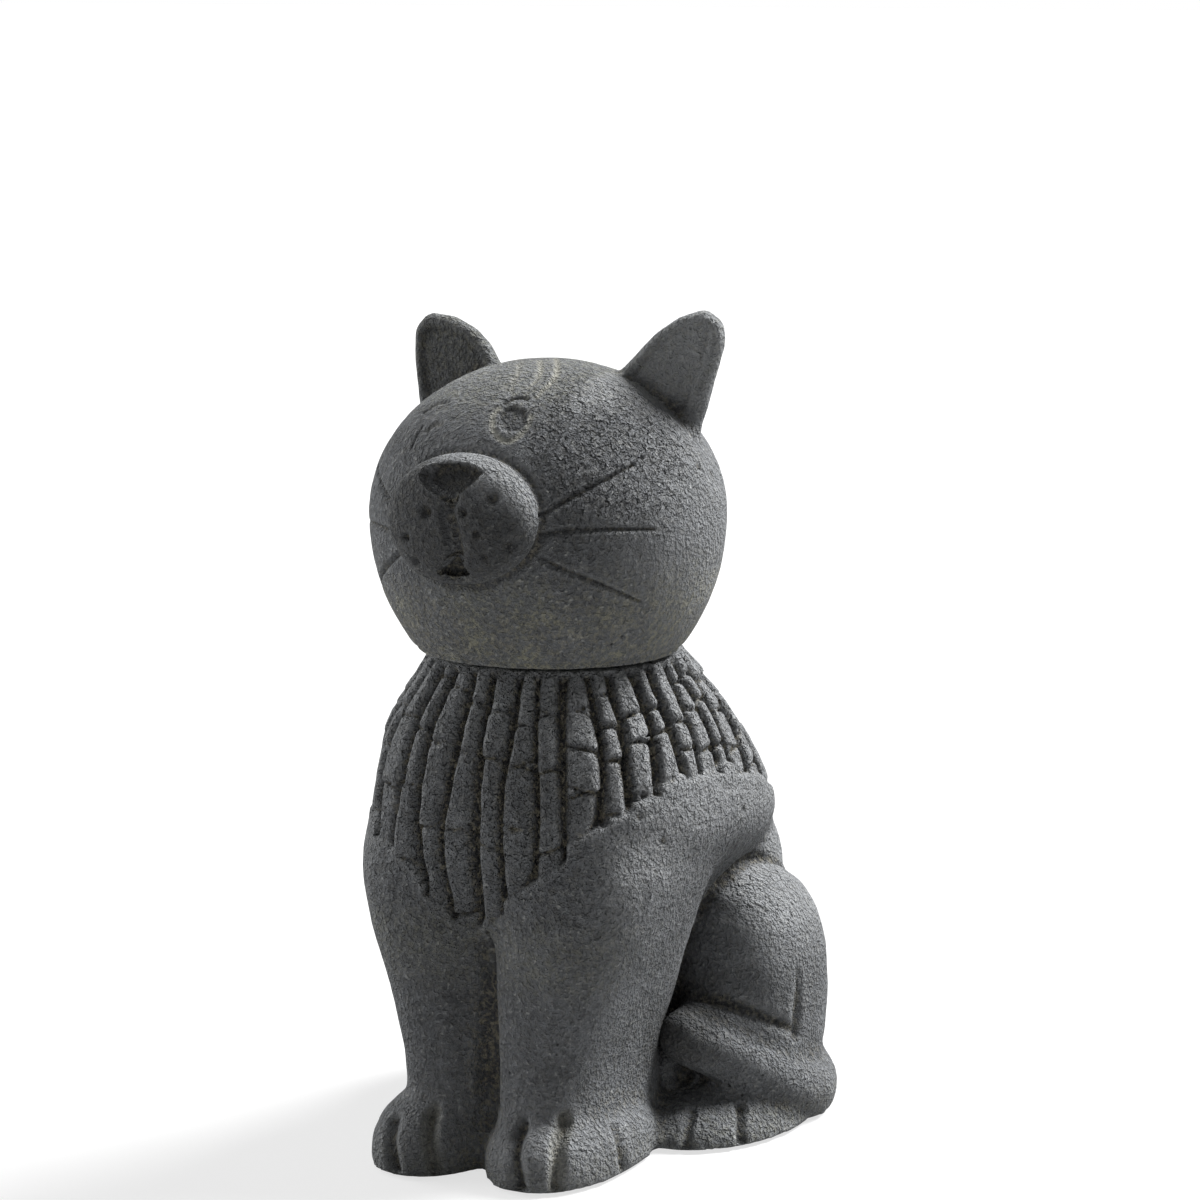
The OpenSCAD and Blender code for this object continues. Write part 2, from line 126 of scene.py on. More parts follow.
@dataclass(frozen=True)
class Groove:
    """A chisel cut along a route on the surface, or a pit where the route is one point."""

    route: tuple[Point, ...]
    half_width: float
    depth: float
    section: Section = Section.ROUND
    taper: float = 0.0
    reach: float = 9.0
    chalk: float = 0.0

    def smooth_route(self, steps: int = 5) -> Array:
        """The route with points added along a smooth curve.

        Args:
            steps: Pieces of curve between two given points.

        Returns:
            Points of the curve.
        """
        given = np.array(self.route, float)
        if len(given) < 3:
            return given
        ends = np.vstack([2 * given[0] - given[1], given, 2 * given[-1] - given[-2]])
        curve = []
        for a, b, c, d in zip(ends[:-3], ends[1:-2], ends[2:-1], ends[3:]):
            for t in np.linspace(0.0, 1.0, steps, endpoint=False):
                curve.append(0.5 * (2 * b + (c - a) * t + (2 * a - 5 * b + 4 * c - d) * t**2
                                    + (3 * b - a - 3 * c + d) * t**3))
        return np.vstack([curve, given[-1]])

    def shape(self, share: Array) -> Array:
        """Share of the full depth at a share of the half width.

        Args:
            share: Distance from the route as a share of the half width.

        Returns:
            Depth from 1 at the route to 0 at the edge.
        """
        share = np.clip(share, 0.0, 1.0)
        if self.section is Section.VEE:
            return 1.0 - share
        return (1.0 - share * share) ** 2

    def depth_at(self, points: Array, normals: Array) -> Array:
        """Depth of this cut at each point.

        Args:
            points: Points in the frame that the route is given in.
            normals: Surface directions at the points.

        Returns:
            Depths in millimetres.
        """
        route = self.smooth_route()
        room = self.half_width + self.reach
        boxed = (points > route.min(0) - room) & (points < route.max(0) + room)
        near = np.flatnonzero(boxed.all(axis=1))
        depth = np.zeros(len(points))
        if not len(near):
            return depth
        place, facing = points[near], normals[near]
        best = np.full(len(near), FAR)
        along = np.zeros(len(near))
        starts = route[:-1] if len(route) > 1 else route
        ends = route[1:] if len(route) > 1 else route
        for i, (a, b) in enumerate(zip(starts, ends)):
            span = b - a
            length = max(float(span @ span), 1e-9)
            t = np.clip((place - a) @ span / length, 0.0, 1.0)
            away = place - a - t[:, None] * span
            out = (away * facing).sum(1)
            flat = np.linalg.norm(away - out[:, None] * facing, axis=1)
            flat[np.abs(out) > self.reach] = FAR
            closer = flat < best
            best[closer] = flat[closer]
            along[closer] = (i + t[closer]) / len(starts)
        narrow = 1.0 - self.taper * ease(0.45, 1.0, along)
        depth[near] = self.depth * (1.0 - 0.5 * self.taper * ease(0.5, 1.0, along)) * self.shape(
            best / (self.half_width * narrow))
        return depth

    def both_sides(self) -> tuple["Groove", "Groove"]:
        """This cut and its mirror image on the cat's other side."""
        return self, replace(self, route=tuple((-x, y, z) for x, y, z in self.route))


def pit(at: Point, radius: float, depth: float) -> Groove:
    """A small round hole in the surface."""
    return Groove((at,), radius, depth)


def whisker(*route: Point) -> Groove:
    """A thin sharp cut that runs out towards its end."""
    return Groove(route, half_width=2.2, depth=2.4, section=Section.VEE, taper=0.5)


@dataclass(frozen=True)
class Recess:
    """A sunk patch on a face that looks forward, its floor deeper towards its top where it has a tilt."""

    corners: tuple[Flat, ...]
    depth: float
    edge: float
    front: Flat
    facing: float = -0.2
    tilt: float = 0.0
    # Share of painted shade on the patch's floor.
    recess_shade: float = 0.0

    def depth_at(self, points: Array, normals: Array) -> Array:
        """Depth of the patch at each point.

        Args:
            points: Points in the head's frame.
            normals: Surface directions at the points.

        Returns:
            Depths in millimetres.
        """
        flat = points[:, [0, 2]]
        corners = np.array(self.corners, float)
        away = np.full(len(flat), FAR)
        inside = np.zeros(len(flat), bool)
        for a, b in zip(corners, np.roll(corners, -1, axis=0)):
            span = b - a
            t = np.clip((flat - a) @ span / (span @ span), 0.0, 1.0)
            away = np.minimum(away, np.linalg.norm(flat - a - t[:, None] * span, axis=1))
            crosses = (a[1] > flat[:, 1]) != (b[1] > flat[:, 1])
            rise = span[1] if span[1] else 1e-9
            inside ^= crosses & (flat[:, 0] < a[0] + (flat[:, 1] - a[1]) * span[0] / rise)
        signed = np.where(inside, away, -away)
        ahead = points[:, 1]
        wanted = (ahead > self.front[0]) & (ahead < self.front[1]) & (normals[:, 1] < self.facing)
        slope = np.maximum(1.0 + self.tilt * (flat[:, 1] - corners[:, 1].mean()), 0.0)
        return self.depth * slope * ease(-0.3 * self.edge, 0.7 * self.edge, signed) * wanted


@dataclass(frozen=True)
class Nudge:
    """A soft push of the surface round one point."""

    at: Point
    move: Point
    near: float
    far: float

    def apply(self, points: Array) -> Array:
        """Push points, fully inside the near radius and not at all past the far one."""
        away = np.linalg.norm(points - np.array(self.at), axis=1)
        return points + (1.0 - ease(self.near, self.far, away))[:, None] * np.array(self.move)


@dataclass(frozen=True)
class Torso:
    """Smooth skin of the torso without the collar's grooves."""

    stations: tuple[tuple[float, ...], ...] = (
        (0, 50, 38, 76, 2.4), (78, 42, 40, 88, 2.6), (116, 32, 57, 103, 2.7), (144, 22, 80, 103, 2.8),
        (166, 15, 84, 96, 2.7), (200, 5, 78, 79, 2.5), (218, 3, 69, 70, 2.2), (233, 0, 60, 60, 2))

    def station_at(self, height: Array) -> Array:
        """Centre, half sizes and squareness of the torso at given heights.

        Args:
            height: Heights in millimetres.

        Returns:
            One row for each height.
        """
        given = np.array(self.stations, float)
        levels, values = given[:, 0], given[:, 1:]
        rate = np.gradient(values, axis=0) / np.gradient(levels)[:, None]
        low = np.clip(np.searchsorted(levels, height, side="right") - 1, 0, len(levels) - 2)
        span = (levels[low + 1] - levels[low])[:, None]
        t = np.clip((height - levels[low])[:, None] / span, 0.0, 1.0)
        return (values[low] * (2 * t**3 - 3 * t**2 + 1) + rate[low] * span * (t**3 - 2 * t**2 + t)
                + values[low + 1] * (3 * t**2 - 2 * t**3) + rate[low + 1] * span * (t**3 - t**2))

    def radius_at(self, points: Array) -> Array:
        """Distance of the skin from the neck axis, in the direction of each point.

        Args:
            points: Points about the neck axis.

        Returns:
            Radii in millimetres.
        """
        middle, half_w, half_d, square = self.station_at(points[:, 2]).T
        length = np.hypot(points[:, 0], points[:, 1]) + 1e-9
        aside, ahead = points[:, 0] / length, points[:, 1] / length
        low, high = np.zeros(len(points)), 2.0 * half_d
        for _ in range(24):
            reach = (low + high) / 2.0
            wide = np.abs(reach * aside / half_w) ** square
            deep = np.abs((reach * ahead - middle) / half_d) ** square
            past = wide + deep > 1.0
            high = np.where(past, reach, high)
            low = np.where(past, low, reach)
        return (low + high) / 2.0


@dataclass(frozen=True)
class TuftCollar:
    """Rows of carved tufts round the neck: upright bars, each cut into rounded blocks."""

    columns: int = 34
    gap: float = 0.7
    groove_depth: float = 6.0
    end_depth: float = 3.4
    overlap: float = 0.8
    left_round: float = 3.2
    right_round: float = 5.4
    end_round: float = 2.6
    block: Flat = (18.0, 34.0)
    blocks: int = 11
    above_seam: float = 60.0
    first_block: Flat = (6.0, 30.0)
    block_growth: float = 0.4
    block_share: tuple[Flat, ...] = (
        (-180, 0.7), (-100, 0.75), (-50, 1.0), (0, 1.0), (25, 0.75), (50, 0.55), (110, 0.5), (180, 0.7))
    proud: float = 1.7
    aside: float = 0.9
    slant: float = 0.35
    lean: float = 0.1
    ragged: float = 3.0
    seed: int = 5
    neck_radius: float = 60.0
    inner_radius: float = 48.0
    top: float = 232.6
    border: tuple[Flat, ...] = (
        (-180, 140), (-140, 150), (-100, 162), (-75, 161), (-50, 157), (-33, 149), (-25, 140), (-14, 124),
        (-5.6, 116), (3.6, 117), (17.8, 136), (29.5, 153), (41.8, 166), (53.8, 178), (80, 185), (106, 180),
        (125, 173), (138, 160), (160, 146), (180, 140))

    def border_at(self, angle: Array) -> Array:
        """Height of the collar's lower border at angles in degrees from the front."""
        angles, heights = zip(*self.border)
        return np.interp((angle + 180.0) % 360.0 - 180.0, angles, heights)

    def angle_of(self, points: Array) -> Array:
        """Degrees from the front, towards the cat's left."""
        return np.degrees(np.arctan2(points[:, 0], -points[:, 1]))

    def covers(self, points: Array, spare: float) -> Array:
        """Which points lie in the collar, with some spare room below its border.

        Args:
            points: Points about the neck axis, in millimetres.
            spare: Extra room below the border.

        Returns:
            True for each point in the collar.
        """
        outside = np.hypot(points[:, 0], points[:, 1]) > self.inner_radius
        low = self.border_at(self.angle_of(points)) - spare
        return outside & (points[:, 2] > low) & (points[:, 2] < self.top)

    def depth_at(self, points: Array, normals: Array) -> Array:
        """Depth of the carving at each point.

        Args:
            points: Points about the neck axis.
            normals: Surface directions at the points.

        Returns:
            Depths in millimetres.
        """
        depth = np.zeros(len(points))
        level = np.abs(normals[:, 2]) < 0.93
        near = np.flatnonzero(self.covers(points, 4.0) & level)
        place = points[near]
        angle = self.angle_of(place)
        radius = np.hypot(place[:, 0], place[:, 1])
        down = np.hypot(NECK_SEAM - place[:, 2], radius - self.neck_radius)
        pitch = 2.0 * math.pi * radius / self.columns
        random = np.random.default_rng(self.seed)
        share = np.interp(np.arange(self.columns) * 360.0 / self.columns - 180.0, *zip(*self.block_share))
        lengths = random.uniform(*self.block, (self.columns, self.blocks)) * share[:, None]
        lengths *= 1.0 + self.block_growth * np.arange(self.blocks)
        first = random.uniform(*self.first_block, (self.columns,))[:, None]
        over = np.full((self.columns, 1), -self.above_seam)
        tops = np.hstack([over, first, first + np.cumsum(lengths, axis=1)])
        proud = random.uniform(0.0, self.proud, tops.shape)
        aside = random.uniform(-self.aside, self.aside, tops.shape)
        slant = random.uniform(-self.slant, self.slant, tops.shape)
        lean = random.uniform(-self.lean, self.lean, tops.shape)
        ends = random.uniform(-self.ragged, self.ragged, self.columns)
        wobble = 2.0 * uneven(place, 8.0, 21.0) - 1.0

        turn = (angle + 180.0) / 360.0 * self.columns
        cell = np.floor(turn).astype(int)

        def edge_of(which: Array) -> Array:
            """Place of the groove on the low side of a column.

            Args:
                which: Columns, counted from the back.

            Returns:
                Places in column widths from the back.
            """
            column = which % self.columns
            return (which + 0.1 * np.sin(np.radians(151.0 * column + 2.6 * place[:, 2]))
                    + 0.03 * np.sin(np.radians(67.0 * column - 5.0 * place[:, 2])))

        cell = np.where(turn < edge_of(cell), cell - 1, cell)
        cell = np.where(turn >= edge_of(cell + 1), cell + 1, cell)
        left = (turn - edge_of(cell)) * pitch
        right = (edge_of(cell + 1) - turn) * pitch
        across = left / (left + right)
        column = cell % self.columns

        slanted = down
        for _ in range(2):
            order = np.clip((slanted[:, None] >= tops[column]).sum(axis=1) - 1, 0, tops.shape[1] - 2)
            slanted = down + slant[column, order] * (across - 0.5) * (left + right)
        order = np.clip((slanted[:, None] >= tops[column]).sum(axis=1) - 1, 0, tops.shape[1] - 2)
        middle = ((cell + 0.5) / self.columns) * 360.0 - 180.0
        end = 0.75 * self.border_at(angle) + 0.25 * self.border_at(middle) + ends[column]
        below = np.where(order > 0, slanted - tops[column, order], 99.0) + 0.5 * wobble
        above = np.minimum(tops[column, order + 1] - slanted, place[:, 2] - end) - 0.5 * wobble

        bend = 0.6 * wobble + aside[column, order]
        side = np.maximum(1.0 - (left + bend - self.gap) / self.left_round,
                          1.0 - (right - bend - self.gap) / self.right_round)
        side = np.clip(side, 0.0, 1.0)
        tip = np.clip(1.0 - np.minimum(below, above) / self.end_round, 0.0, 1.0)
        round_off = np.clip(np.hypot(side, tip), 0.0, 1.0)
        end_deep = self.end_depth * (1.6 - share[column])
        deep = (self.groove_depth * side**2 + end_deep * tip**2) / (side**2 + tip**2 + 1e-6)
        inset = 1.0 - (slanted - tops[column, order]) / (tops[column, order + 1] - tops[column, order])
        cut = proud[column, order] + lean[column, order] * (across - 0.5) * (left + right)
        cut += self.overlap * np.clip(inset, 0.0, 1.0)
        cut = np.maximum(cut + deep * (0.3 * round_off**2 + 0.7 * (1.0 - np.sqrt(1.0 - round_off**2))), 0.0)
        depth[near] = cut * ease(-1.5, 2.5, place[:, 2] - end)
        return depth


@dataclass
class Wiring:
    """A node tree with short calls that add nodes and join them."""

    tree: bpy.types.NodeTree

    def add(self, kind: str, **values: object) -> Node:
        """Add a node.

        Args:
            kind: Node type without its prefix.
            values: Settings by name.

        Returns:
            The node.
        """
        node = self.tree.nodes.new("ShaderNode" + kind)
        for name, value in values.items():
            setattr(node, name, value)
        return node

    def feed(self, socket: Socket, value: object) -> None:
        """Join an input to a socket, or set it to a constant.

        Args:
            socket: The input.
            value: Constant or socket.
        """
        if isinstance(value, Socket):
            self.tree.links.new(value, socket)
        else:
            socket.default_value = value

    def put(self, node: Node, **values: object) -> Node:
        """Set or feed a node's inputs.

        Args:
            node: The node.
            values: Constants or sockets by input name, with _ for a space.

        Returns:
            The node.
        """
        for name, value in values.items():
            self.feed(node.inputs[name.replace("_", " ")], value)
        return node

    def noise(self, where: Socket, scale: object, detail: float = 2.0,
              rough: float = 0.5) -> Socket:
        """Noise value.

        Args:
            where: Coordinates.
            scale: Constant or socket.
            detail: Octaves.
            rough: Share of each finer octave.

        Returns:
            The value's socket.
        """
        node = self.add("TexNoise")
        self.put(node, Vector=where, Scale=scale, Detail=detail, Roughness=rough)
        return node.outputs["Fac"]

    def spread(self, value: Socket, low: float, high: float, to_low: float = 0.0,
               to_high: float = 1.0) -> Socket:
        """Map a value from one range to another, held inside it.

        Args:
            value: The value.
            low: Start of its range.
            high: End of its range.
            to_low: Start of the new range.
            to_high: End of the new range.

        Returns:
            The mapped value's socket.
        """
        node = self.add("MapRange")
        self.put(node, Value=value, From_Min=low, From_Max=high, To_Min=to_low, To_Max=to_high)
        return node.outputs["Result"]

    def sum(self, operation: str, a: object, b: object) -> Socket:
        """Arithmetic on two values.

        Args:
            operation: Name of the operation.
            a: Constant or socket.
            b: Constant or socket.

        Returns:
            The result's socket.
        """
        node = self.add("Math", operation=operation)
        for socket, value in zip(node.inputs, (a, b)):
            self.feed(socket, value)
        return node.outputs[0]

    def mix(self, share: object, a: object, b: object, blend: str = "MIX") -> Socket:
        """Mix two colours.

        Args:
            share: Constant or socket.
            a: First colour or socket.
            b: Second colour or socket.
            blend: Way of mixing.

        Returns:
            The colour's socket.
        """
        node = self.add("Mix", data_type="RGBA", blend_type=blend)
        for socket, value in ((node.inputs[0], share), (node.inputs[6], a), (node.inputs[7], b)):
            self.feed(socket, value)
        return node.outputs[2]

    def blend(self, share: object, a: Node, b: Node) -> Socket:
        """Mix two shaders.

        Args:
            share: Constant or socket.
            a: First shader.
            b: Second shader.

        Returns:
            The shader's socket.
        """
        node = self.add("MixShader")
        for socket, value in zip(node.inputs, (share, a.outputs[0], b.outputs[0])):
            self.feed(socket, value)
        return node.outputs[0]


def stone_grain() -> bpy.types.NodeTree:
    """Node group of cast grain: soft patches, mottling, fine grain and pores.

    Returns:
        The group, made once.
    """
    made = bpy.data.node_groups.get("stone_grain")
    if made:
        return made
    group = bpy.data.node_groups.new("stone_grain", "ShaderNodeTree")
    group.interface.new_socket("Vector", in_out="INPUT", socket_type="NodeSocketVector")
    for name in ("Patch Scale", "Mottle Scale", "Grain Scale", "Pore Scale"):
        group.interface.new_socket(name, in_out="INPUT", socket_type="NodeSocketFloat")
    for name in GRAIN_LAYERS:
        group.interface.new_socket(name, in_out="OUTPUT", socket_type="NodeSocketFloat")
    wire = Wiring(group)
    given = group.nodes.new("NodeGroupInput")
    result = group.nodes.new("NodeGroupOutput")
    where = given.outputs["Vector"]
    patches = wire.noise(where, given.outputs["Patch Scale"], 4.0, 0.55)
    mottle = wire.noise(where, given.outputs["Mottle Scale"], 3.0, 0.6)
    grain = wire.noise(where, given.outputs["Grain Scale"], 2.0, 0.6)
    cells = wire.add("TexVoronoi")
    wire.put(cells, Vector=where, Scale=given.outputs["Pore Scale"], Randomness=1.0)
    dots = wire.spread(cells.outputs["Distance"], 0.05, 0.17, 1.0, 0.0)
    rare = wire.spread(wire.noise(where, given.outputs["Patch Scale"], 6.0, 0.7), 0.55, 0.62)
    pores = wire.sum("MULTIPLY", dots, rare)
    for name, socket in zip(GRAIN_LAYERS, (patches, mottle, grain, pores)):
        group.links.new(socket, result.inputs[name])
    return group


@dataclass(frozen=True)
class StoneFinish:
    """Dark matt cast stone, with dust in its cuts and worn edges, painted shade in its hollows, deep cuts and
    pores, and painted light on its lit sides.
    """

    name: str = "dark_cast_stone"
    deep: Colour = (0.06, 0.062, 0.063, 1.0)
    pale: Colour = (0.205, 0.214, 0.226, 1.0)
    speck: Colour = (0.45, 0.45, 0.41, 1.0)
    # Colour of the painted shade in hollows, deep cuts and pores.
    pit: Colour = (0.024, 0.024, 0.023, 1.0)
    dust: Colour = (0.34, 0.31, 0.235, 1.0)
    moss: Colour = (0.29, 0.29, 0.225, 1.0)
    # Colour of worn edges and of painted light.
    worn_and_lit: Colour = (0.36, 0.37, 0.38, 1.0)
    chalk: Colour = (0.36, 0.355, 0.31, 1.0)
    patch_scale: float = 26.0
    mottle_scale: float = 230.0
    grain_scale: float = 520.0
    pore_scale: float = 190.0
    stain_scale: float = 380.0
    lump_height: float = 0.0044
    grain_height: float = 0.0013
    gloss: float = 0.12

    def material(self) -> bpy.types.Material:
        """Build the material.

        Returns:
            The material.
        """
        stone = bpy.data.materials.new(self.name)
        stone.use_nodes = True
        wire = Wiring(stone.node_tree)
        bsdf = stone.node_tree.nodes["Principled BSDF"]
        where = wire.add("TexCoord").outputs["Object"]
        grain = wire.add("Group", node_tree=stone_grain())
        wire.put(grain, Vector=where, Patch_Scale=self.patch_scale, Mottle_Scale=self.mottle_scale,
                 Grain_Scale=self.grain_scale, Pore_Scale=self.pore_scale)
        patches, mottle, fine, pores = (grain.outputs[name] for name in GRAIN_LAYERS)
        painted_shade, wear_and_light, dusty, mossy, chalky, coarse = (
            wire.add("Attribute", attribute_name=name).outputs["Fac"] for name in STAINS_AND_LIGHT)

        tone = wire.spread(patches, 0.3, 0.7, 0.1, 0.5)
        for layer in (mottle, fine):
            tone = wire.sum("ADD", tone, wire.spread(layer, 0.36, 0.64, 0.0, 0.3))
        colour = wire.mix(tone, self.deep, self.pale)
        colour = wire.mix(wire.spread(fine, 0.64, 0.72, 0.0, 0.4), colour, self.speck)
        patchy = wire.spread(wire.noise(where, self.stain_scale, 4.0, 0.7), 0.47, 0.6)
        stained = wire.sum("MULTIPLY", mossy, wire.spread(patchy, 0.0, 1.0, 0.2, 1.0))
        colour = wire.mix(stained, colour, self.moss)
        # Paler on worn edges, and painted light on lit sides and the muzzle's rim.
        colour = wire.mix(wire.spread(wear_and_light, 0.0, 1.0, 0.0, 0.6), colour, self.worn_and_lit)
        # Painted shade: darker in hollows, deep cuts and shaded spots.
        colour = wire.mix(wire.spread(painted_shade, 0.1, 0.9, 0.0, 0.7), colour, self.pit)
        colour = wire.mix(wire.sum("MULTIPLY", dusty, patchy), colour, self.dust)
        lined = wire.sum("MULTIPLY", chalky, wire.spread(fine, 0.3, 0.6, 0.4, 1.0))
        colour = wire.mix(lined, colour, self.chalk)
        # Painted shade in the pores.
        colour = wire.mix(wire.sum("MULTIPLY", pores, 0.8), colour, self.pit)
        lumps = wire.add("Bump")
        wire.put(lumps, Strength=wire.spread(coarse, 0.0, 1.0, 0.1, 1.0), Distance=self.lump_height,
                 Height=wire.spread(mottle, 0.36, 0.62))
        skin = wire.sum("SUBTRACT", wire.spread(fine, 0.34, 0.64), pores)
        bump = wire.add("Bump")
        wire.put(bump, Strength=1.0, Distance=self.grain_height, Height=skin, Normal=lumps.outputs["Normal"])
        wire.put(bsdf, Base_Color=colour, Roughness=wire.spread(fine, 0.3, 0.7, 0.95, 0.75),
                 Normal=bump.outputs["Normal"], Specular_IOR_Level=self.gloss)
        return stone


@dataclass(frozen=True)
class PlainFinish:
    """A finish of one colour with fine grain: mortar, rubber, nylon or steel."""

    name: str
    colour: Colour
    shade: Colour
    rough: Flat
    metallic: float = 0.0
    grain: float = 300.0
    bump: float = 0.15
    bump_height: float = 0.0004

    def material(self) -> bpy.types.Material:
        """Build the material.

        Returns:
            The material.
        """
        made = bpy.data.materials.new(self.name)
        made.use_nodes = True
        wire = Wiring(made.node_tree)
        bsdf = made.node_tree.nodes["Principled BSDF"]
        where = wire.add("TexCoord").outputs["Object"]
        grain = wire.add("Group", node_tree=stone_grain())
        wire.put(grain, Vector=where, Patch_Scale=40.0, Mottle_Scale=self.grain, Grain_Scale=self.grain,
                 Pore_Scale=self.grain)
        fine = grain.outputs["Grain"]
        tone = wire.spread(fine, 0.3, 0.7)
        bump = wire.add("Bump")
        wire.put(bump, Strength=self.bump, Distance=self.bump_height, Height=fine)
        wire.put(bsdf, Base_Color=wire.mix(tone, self.shade, self.colour), Metallic=self.metallic,
                 Roughness=wire.spread(fine, 0.3, 0.7, *self.rough), Normal=bump.outputs["Normal"])
        return made


@dataclass
class Casting(ABC):
    """A cast-stone piece that is blocked out from a node of the frame and then carved."""

    node: ClassVar[str]
    piece: ClassVar[str]
    body: ClassVar[Body]
    hollow_bend: ClassVar[float] = 0.22
    worn_bend: ClassVar[float] = 0.3
    shallow_cut: ClassVar[float] = 2.2
    deep_cut: ClassVar[float] = 3.0
    voxel: float
    cuts: tuple[Groove, ...]

    def block_out(self) -> bpy.types.Object:
        """Copy the node, merge it and lay an even skin of small faces over it.

        Returns:
            The piece, with its place in its mesh.
        """
        bm = bmesh.new()
        bm.from_mesh(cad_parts[self.node].data)
        bmesh.ops.remove_doubles(bm, verts=bm.verts, dist=1e-6)
        self.fill(bm)
        mesh = bpy.data.meshes.new(self.piece)
        bm.to_mesh(mesh)
        bm.free()
        piece = bpy.data.objects.new(self.piece, mesh)
        bpy.context.scene.collection.objects.link(piece)
        skin = piece.modifiers.new("even_skin", "REMESH")
        skin.mode = "VOXEL"
        skin.voxel_size = self.voxel * MM
        skin.adaptivity = 0.0
        view = bpy.context.evaluated_depsgraph_get()
        even = bpy.data.meshes.new_from_object(piece.evaluated_get(view))
        piece.modifiers.clear()
        piece.data = even
        bpy.data.meshes.remove(mesh)
        even.name = self.piece
        return piece

    def soften(self, bm: BMesh, wanted: Array, rounds: int) -> None:
        """Rub down part of the piece.

        Args:
            bm: The piece's mesh.
            wanted: True for each vertex to rub.
            rounds: Passes.
        """
        chosen = [v for v, take in zip(bm.verts, wanted) if take]
        for _ in range(rounds):
            bmesh.ops.smooth_vert(
                bm, verts=chosen, factor=0.5, use_axis_x=True, use_axis_y=True, use_axis_z=True)

    def places(self, bm: BMesh) -> Array:
        """Vertices about the neck axis, in millimetres."""
        return np.array([v.co for v in bm.verts]) / MM - NECK_AXIS

    def settle(self, bm: BMesh, points: Array) -> None:
        """Move the vertices to points about the neck axis, in millimetres."""
        for vert, place in zip(bm.verts, (points + NECK_AXIS) * MM):
            vert.co = place

    def fill(self, bm: BMesh) -> None:
        """Fill the node's own carving, which is cut afresh and finer."""

    @abstractmethod
    def rub_down(self, bm: BMesh) -> None:
        """Soften the block before it is carved."""

    def true_up(self, bm: BMesh) -> None:
        """Bring the block to its exact forms before it is carved."""

    def own_frame(self, points: Array, normals: Array) -> tuple[Array, Array]:
        """Points and surface directions in the frame that the cuts are given in."""
        return points, normals

    def chalked(self, points: Array, normals: Array) -> Array:
        """Share of pale dust that lies along the cuts.

        Args:
            points: Points about the neck axis.
            normals: Surface directions.

        Returns:
            Shares from 0 to 1.
        """
        place, facing = self.own_frame(points, normals)
        share = np.zeros(len(points))
        for cut in self.cuts:
            if cut.chalk:
                share = np.maximum(share, cut.chalk * cut.depth_at(place, facing) / cut.depth)
        return share

    @abstractmethod
    def fine(self, centres: Array) -> Array:
        """Which faces, given by their middles, get smaller faces for fine carving."""

    @abstractmethod
    def carving(self, points: Array, normals: Array) -> Array:
        """Depth to cut at each point, in millimetres."""

    @abstractmethod
    def outer(self, points: Array) -> Array:
        """Which points lie on the skin that shows."""

    @abstractmethod
    def coarse(self, points: Array) -> Array:
        """Coarseness of the cast skin, from 0 to 1."""

    @abstractmethod
    def mossy(self, points: Array) -> Array:
        """Share of olive staining, from 0 to 1."""

    @abstractmethod
    def painted_shade_spots(self, points: Array, normals: Array) -> Array:
        """Share of painted shade, from 0 to 1."""

    @abstractmethod
    def painted_light(self, points: Array, normals: Array) -> Array:
        """Share of painted light, from 0 to 1."""

    @abstractmethod
    def dusting(self, points: Array, painted_shade: Array) -> Array:
        """Share of dust at each point, from how hollow the surface is there."""

    def relief(self, points: Array) -> Array:
        """Depth of the cast skin's unevenness in millimetres."""
        small = uneven(points, 6.5, 9.0) + 1.6 * self.coarse(points) * uneven(points, 4.4, 5.0)
        return (0.55 * uneven(points, 19.0, 3.0) + 0.35 * small) * ease(FLOOR_EDGE, 10.0, points[:, 2])

    def refine(self, bm: BMesh) -> None:
        """Divide the faces that take fine carving.

        Args:
            bm: The piece's mesh.
        """
        centres = np.array([f.calc_center_median() for f in bm.faces]) / MM - NECK_AXIS
        edges = {e for f, take in zip(bm.faces, self.fine(centres)) if take for e in f.edges}
        bmesh.ops.subdivide_edges(bm, edges=list(edges), cuts=1, use_grid_fill=True, smooth=0.0)
        bmesh.ops.triangulate(bm, faces=[f for f in bm.faces if len(f.verts) > 4])

    def build(self, finish: bpy.types.Material) -> bpy.types.Object:
        """Make, carve and dress the piece.

        Args:
            finish: The stone's material.

        Returns:
            The finished piece.
        """
        piece = self.block_out()
        bm = bmesh.new()
        bm.from_mesh(piece.data)
        self.rub_down(bm)
        self.refine(bm)
        self.true_up(bm)
        bm.normal_update()
        points = self.places(bm)
        normals = np.array([v.normal for v in bm.verts])
        depth = self.carving(points, normals)
        shown = np.flatnonzero(self.outer(points))
        rough = np.zeros(len(points))
        rough[shown] = self.relief(points[shown])
        self.settle(bm, points - normals * (depth + rough)[:, None])
        bmesh.ops.recalc_face_normals(bm, faces=bm.faces)
        bm.to_mesh(piece.data)
        bm.free()
        piece.data.shade_smooth()
        self.weather(piece, depth)
        piece.data.materials.clear()
        piece.data.materials.append(finish)
        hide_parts(self.node)
        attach(piece, self.body.value)
        LOG.info("%s: %d faces on %s", piece.name, len(piece.data.polygons), self.body.value)
        return piece

    def weather(self, piece: bpy.types.Object, depth: Array) -> None:
        """Store how hollow, worn and dusty each vertex is, for the stone's colour, with painted shade in
        hollows, deep cuts and shaded spots, and painted light on lit sides.

        Args:
            piece: The carved piece.
            depth: Depth cut at each vertex.
        """
        mesh = piece.data
        count = len(mesh.vertices)
        place = np.empty(3 * count)
        mesh.vertices.foreach_get("co", place)
        place = place.reshape(-1, 3) / MM
        facing = np.empty(3 * count)
        mesh.vertex_normals.foreach_get("vector", facing)
        facing = facing.reshape(-1, 3)
        ends = np.empty(2 * len(mesh.edges), np.int64)
        mesh.edges.foreach_get("vertices", ends)
        a, b = ends.reshape(-1, 2).T
        links = np.bincount(np.concatenate([a, b]), minlength=count).astype(float)

        def around(values: Array) -> Array:
            """Mean of the neighbours' values."""
            return (np.bincount(a, values[b], count) + np.bincount(b, values[a], count)) / links

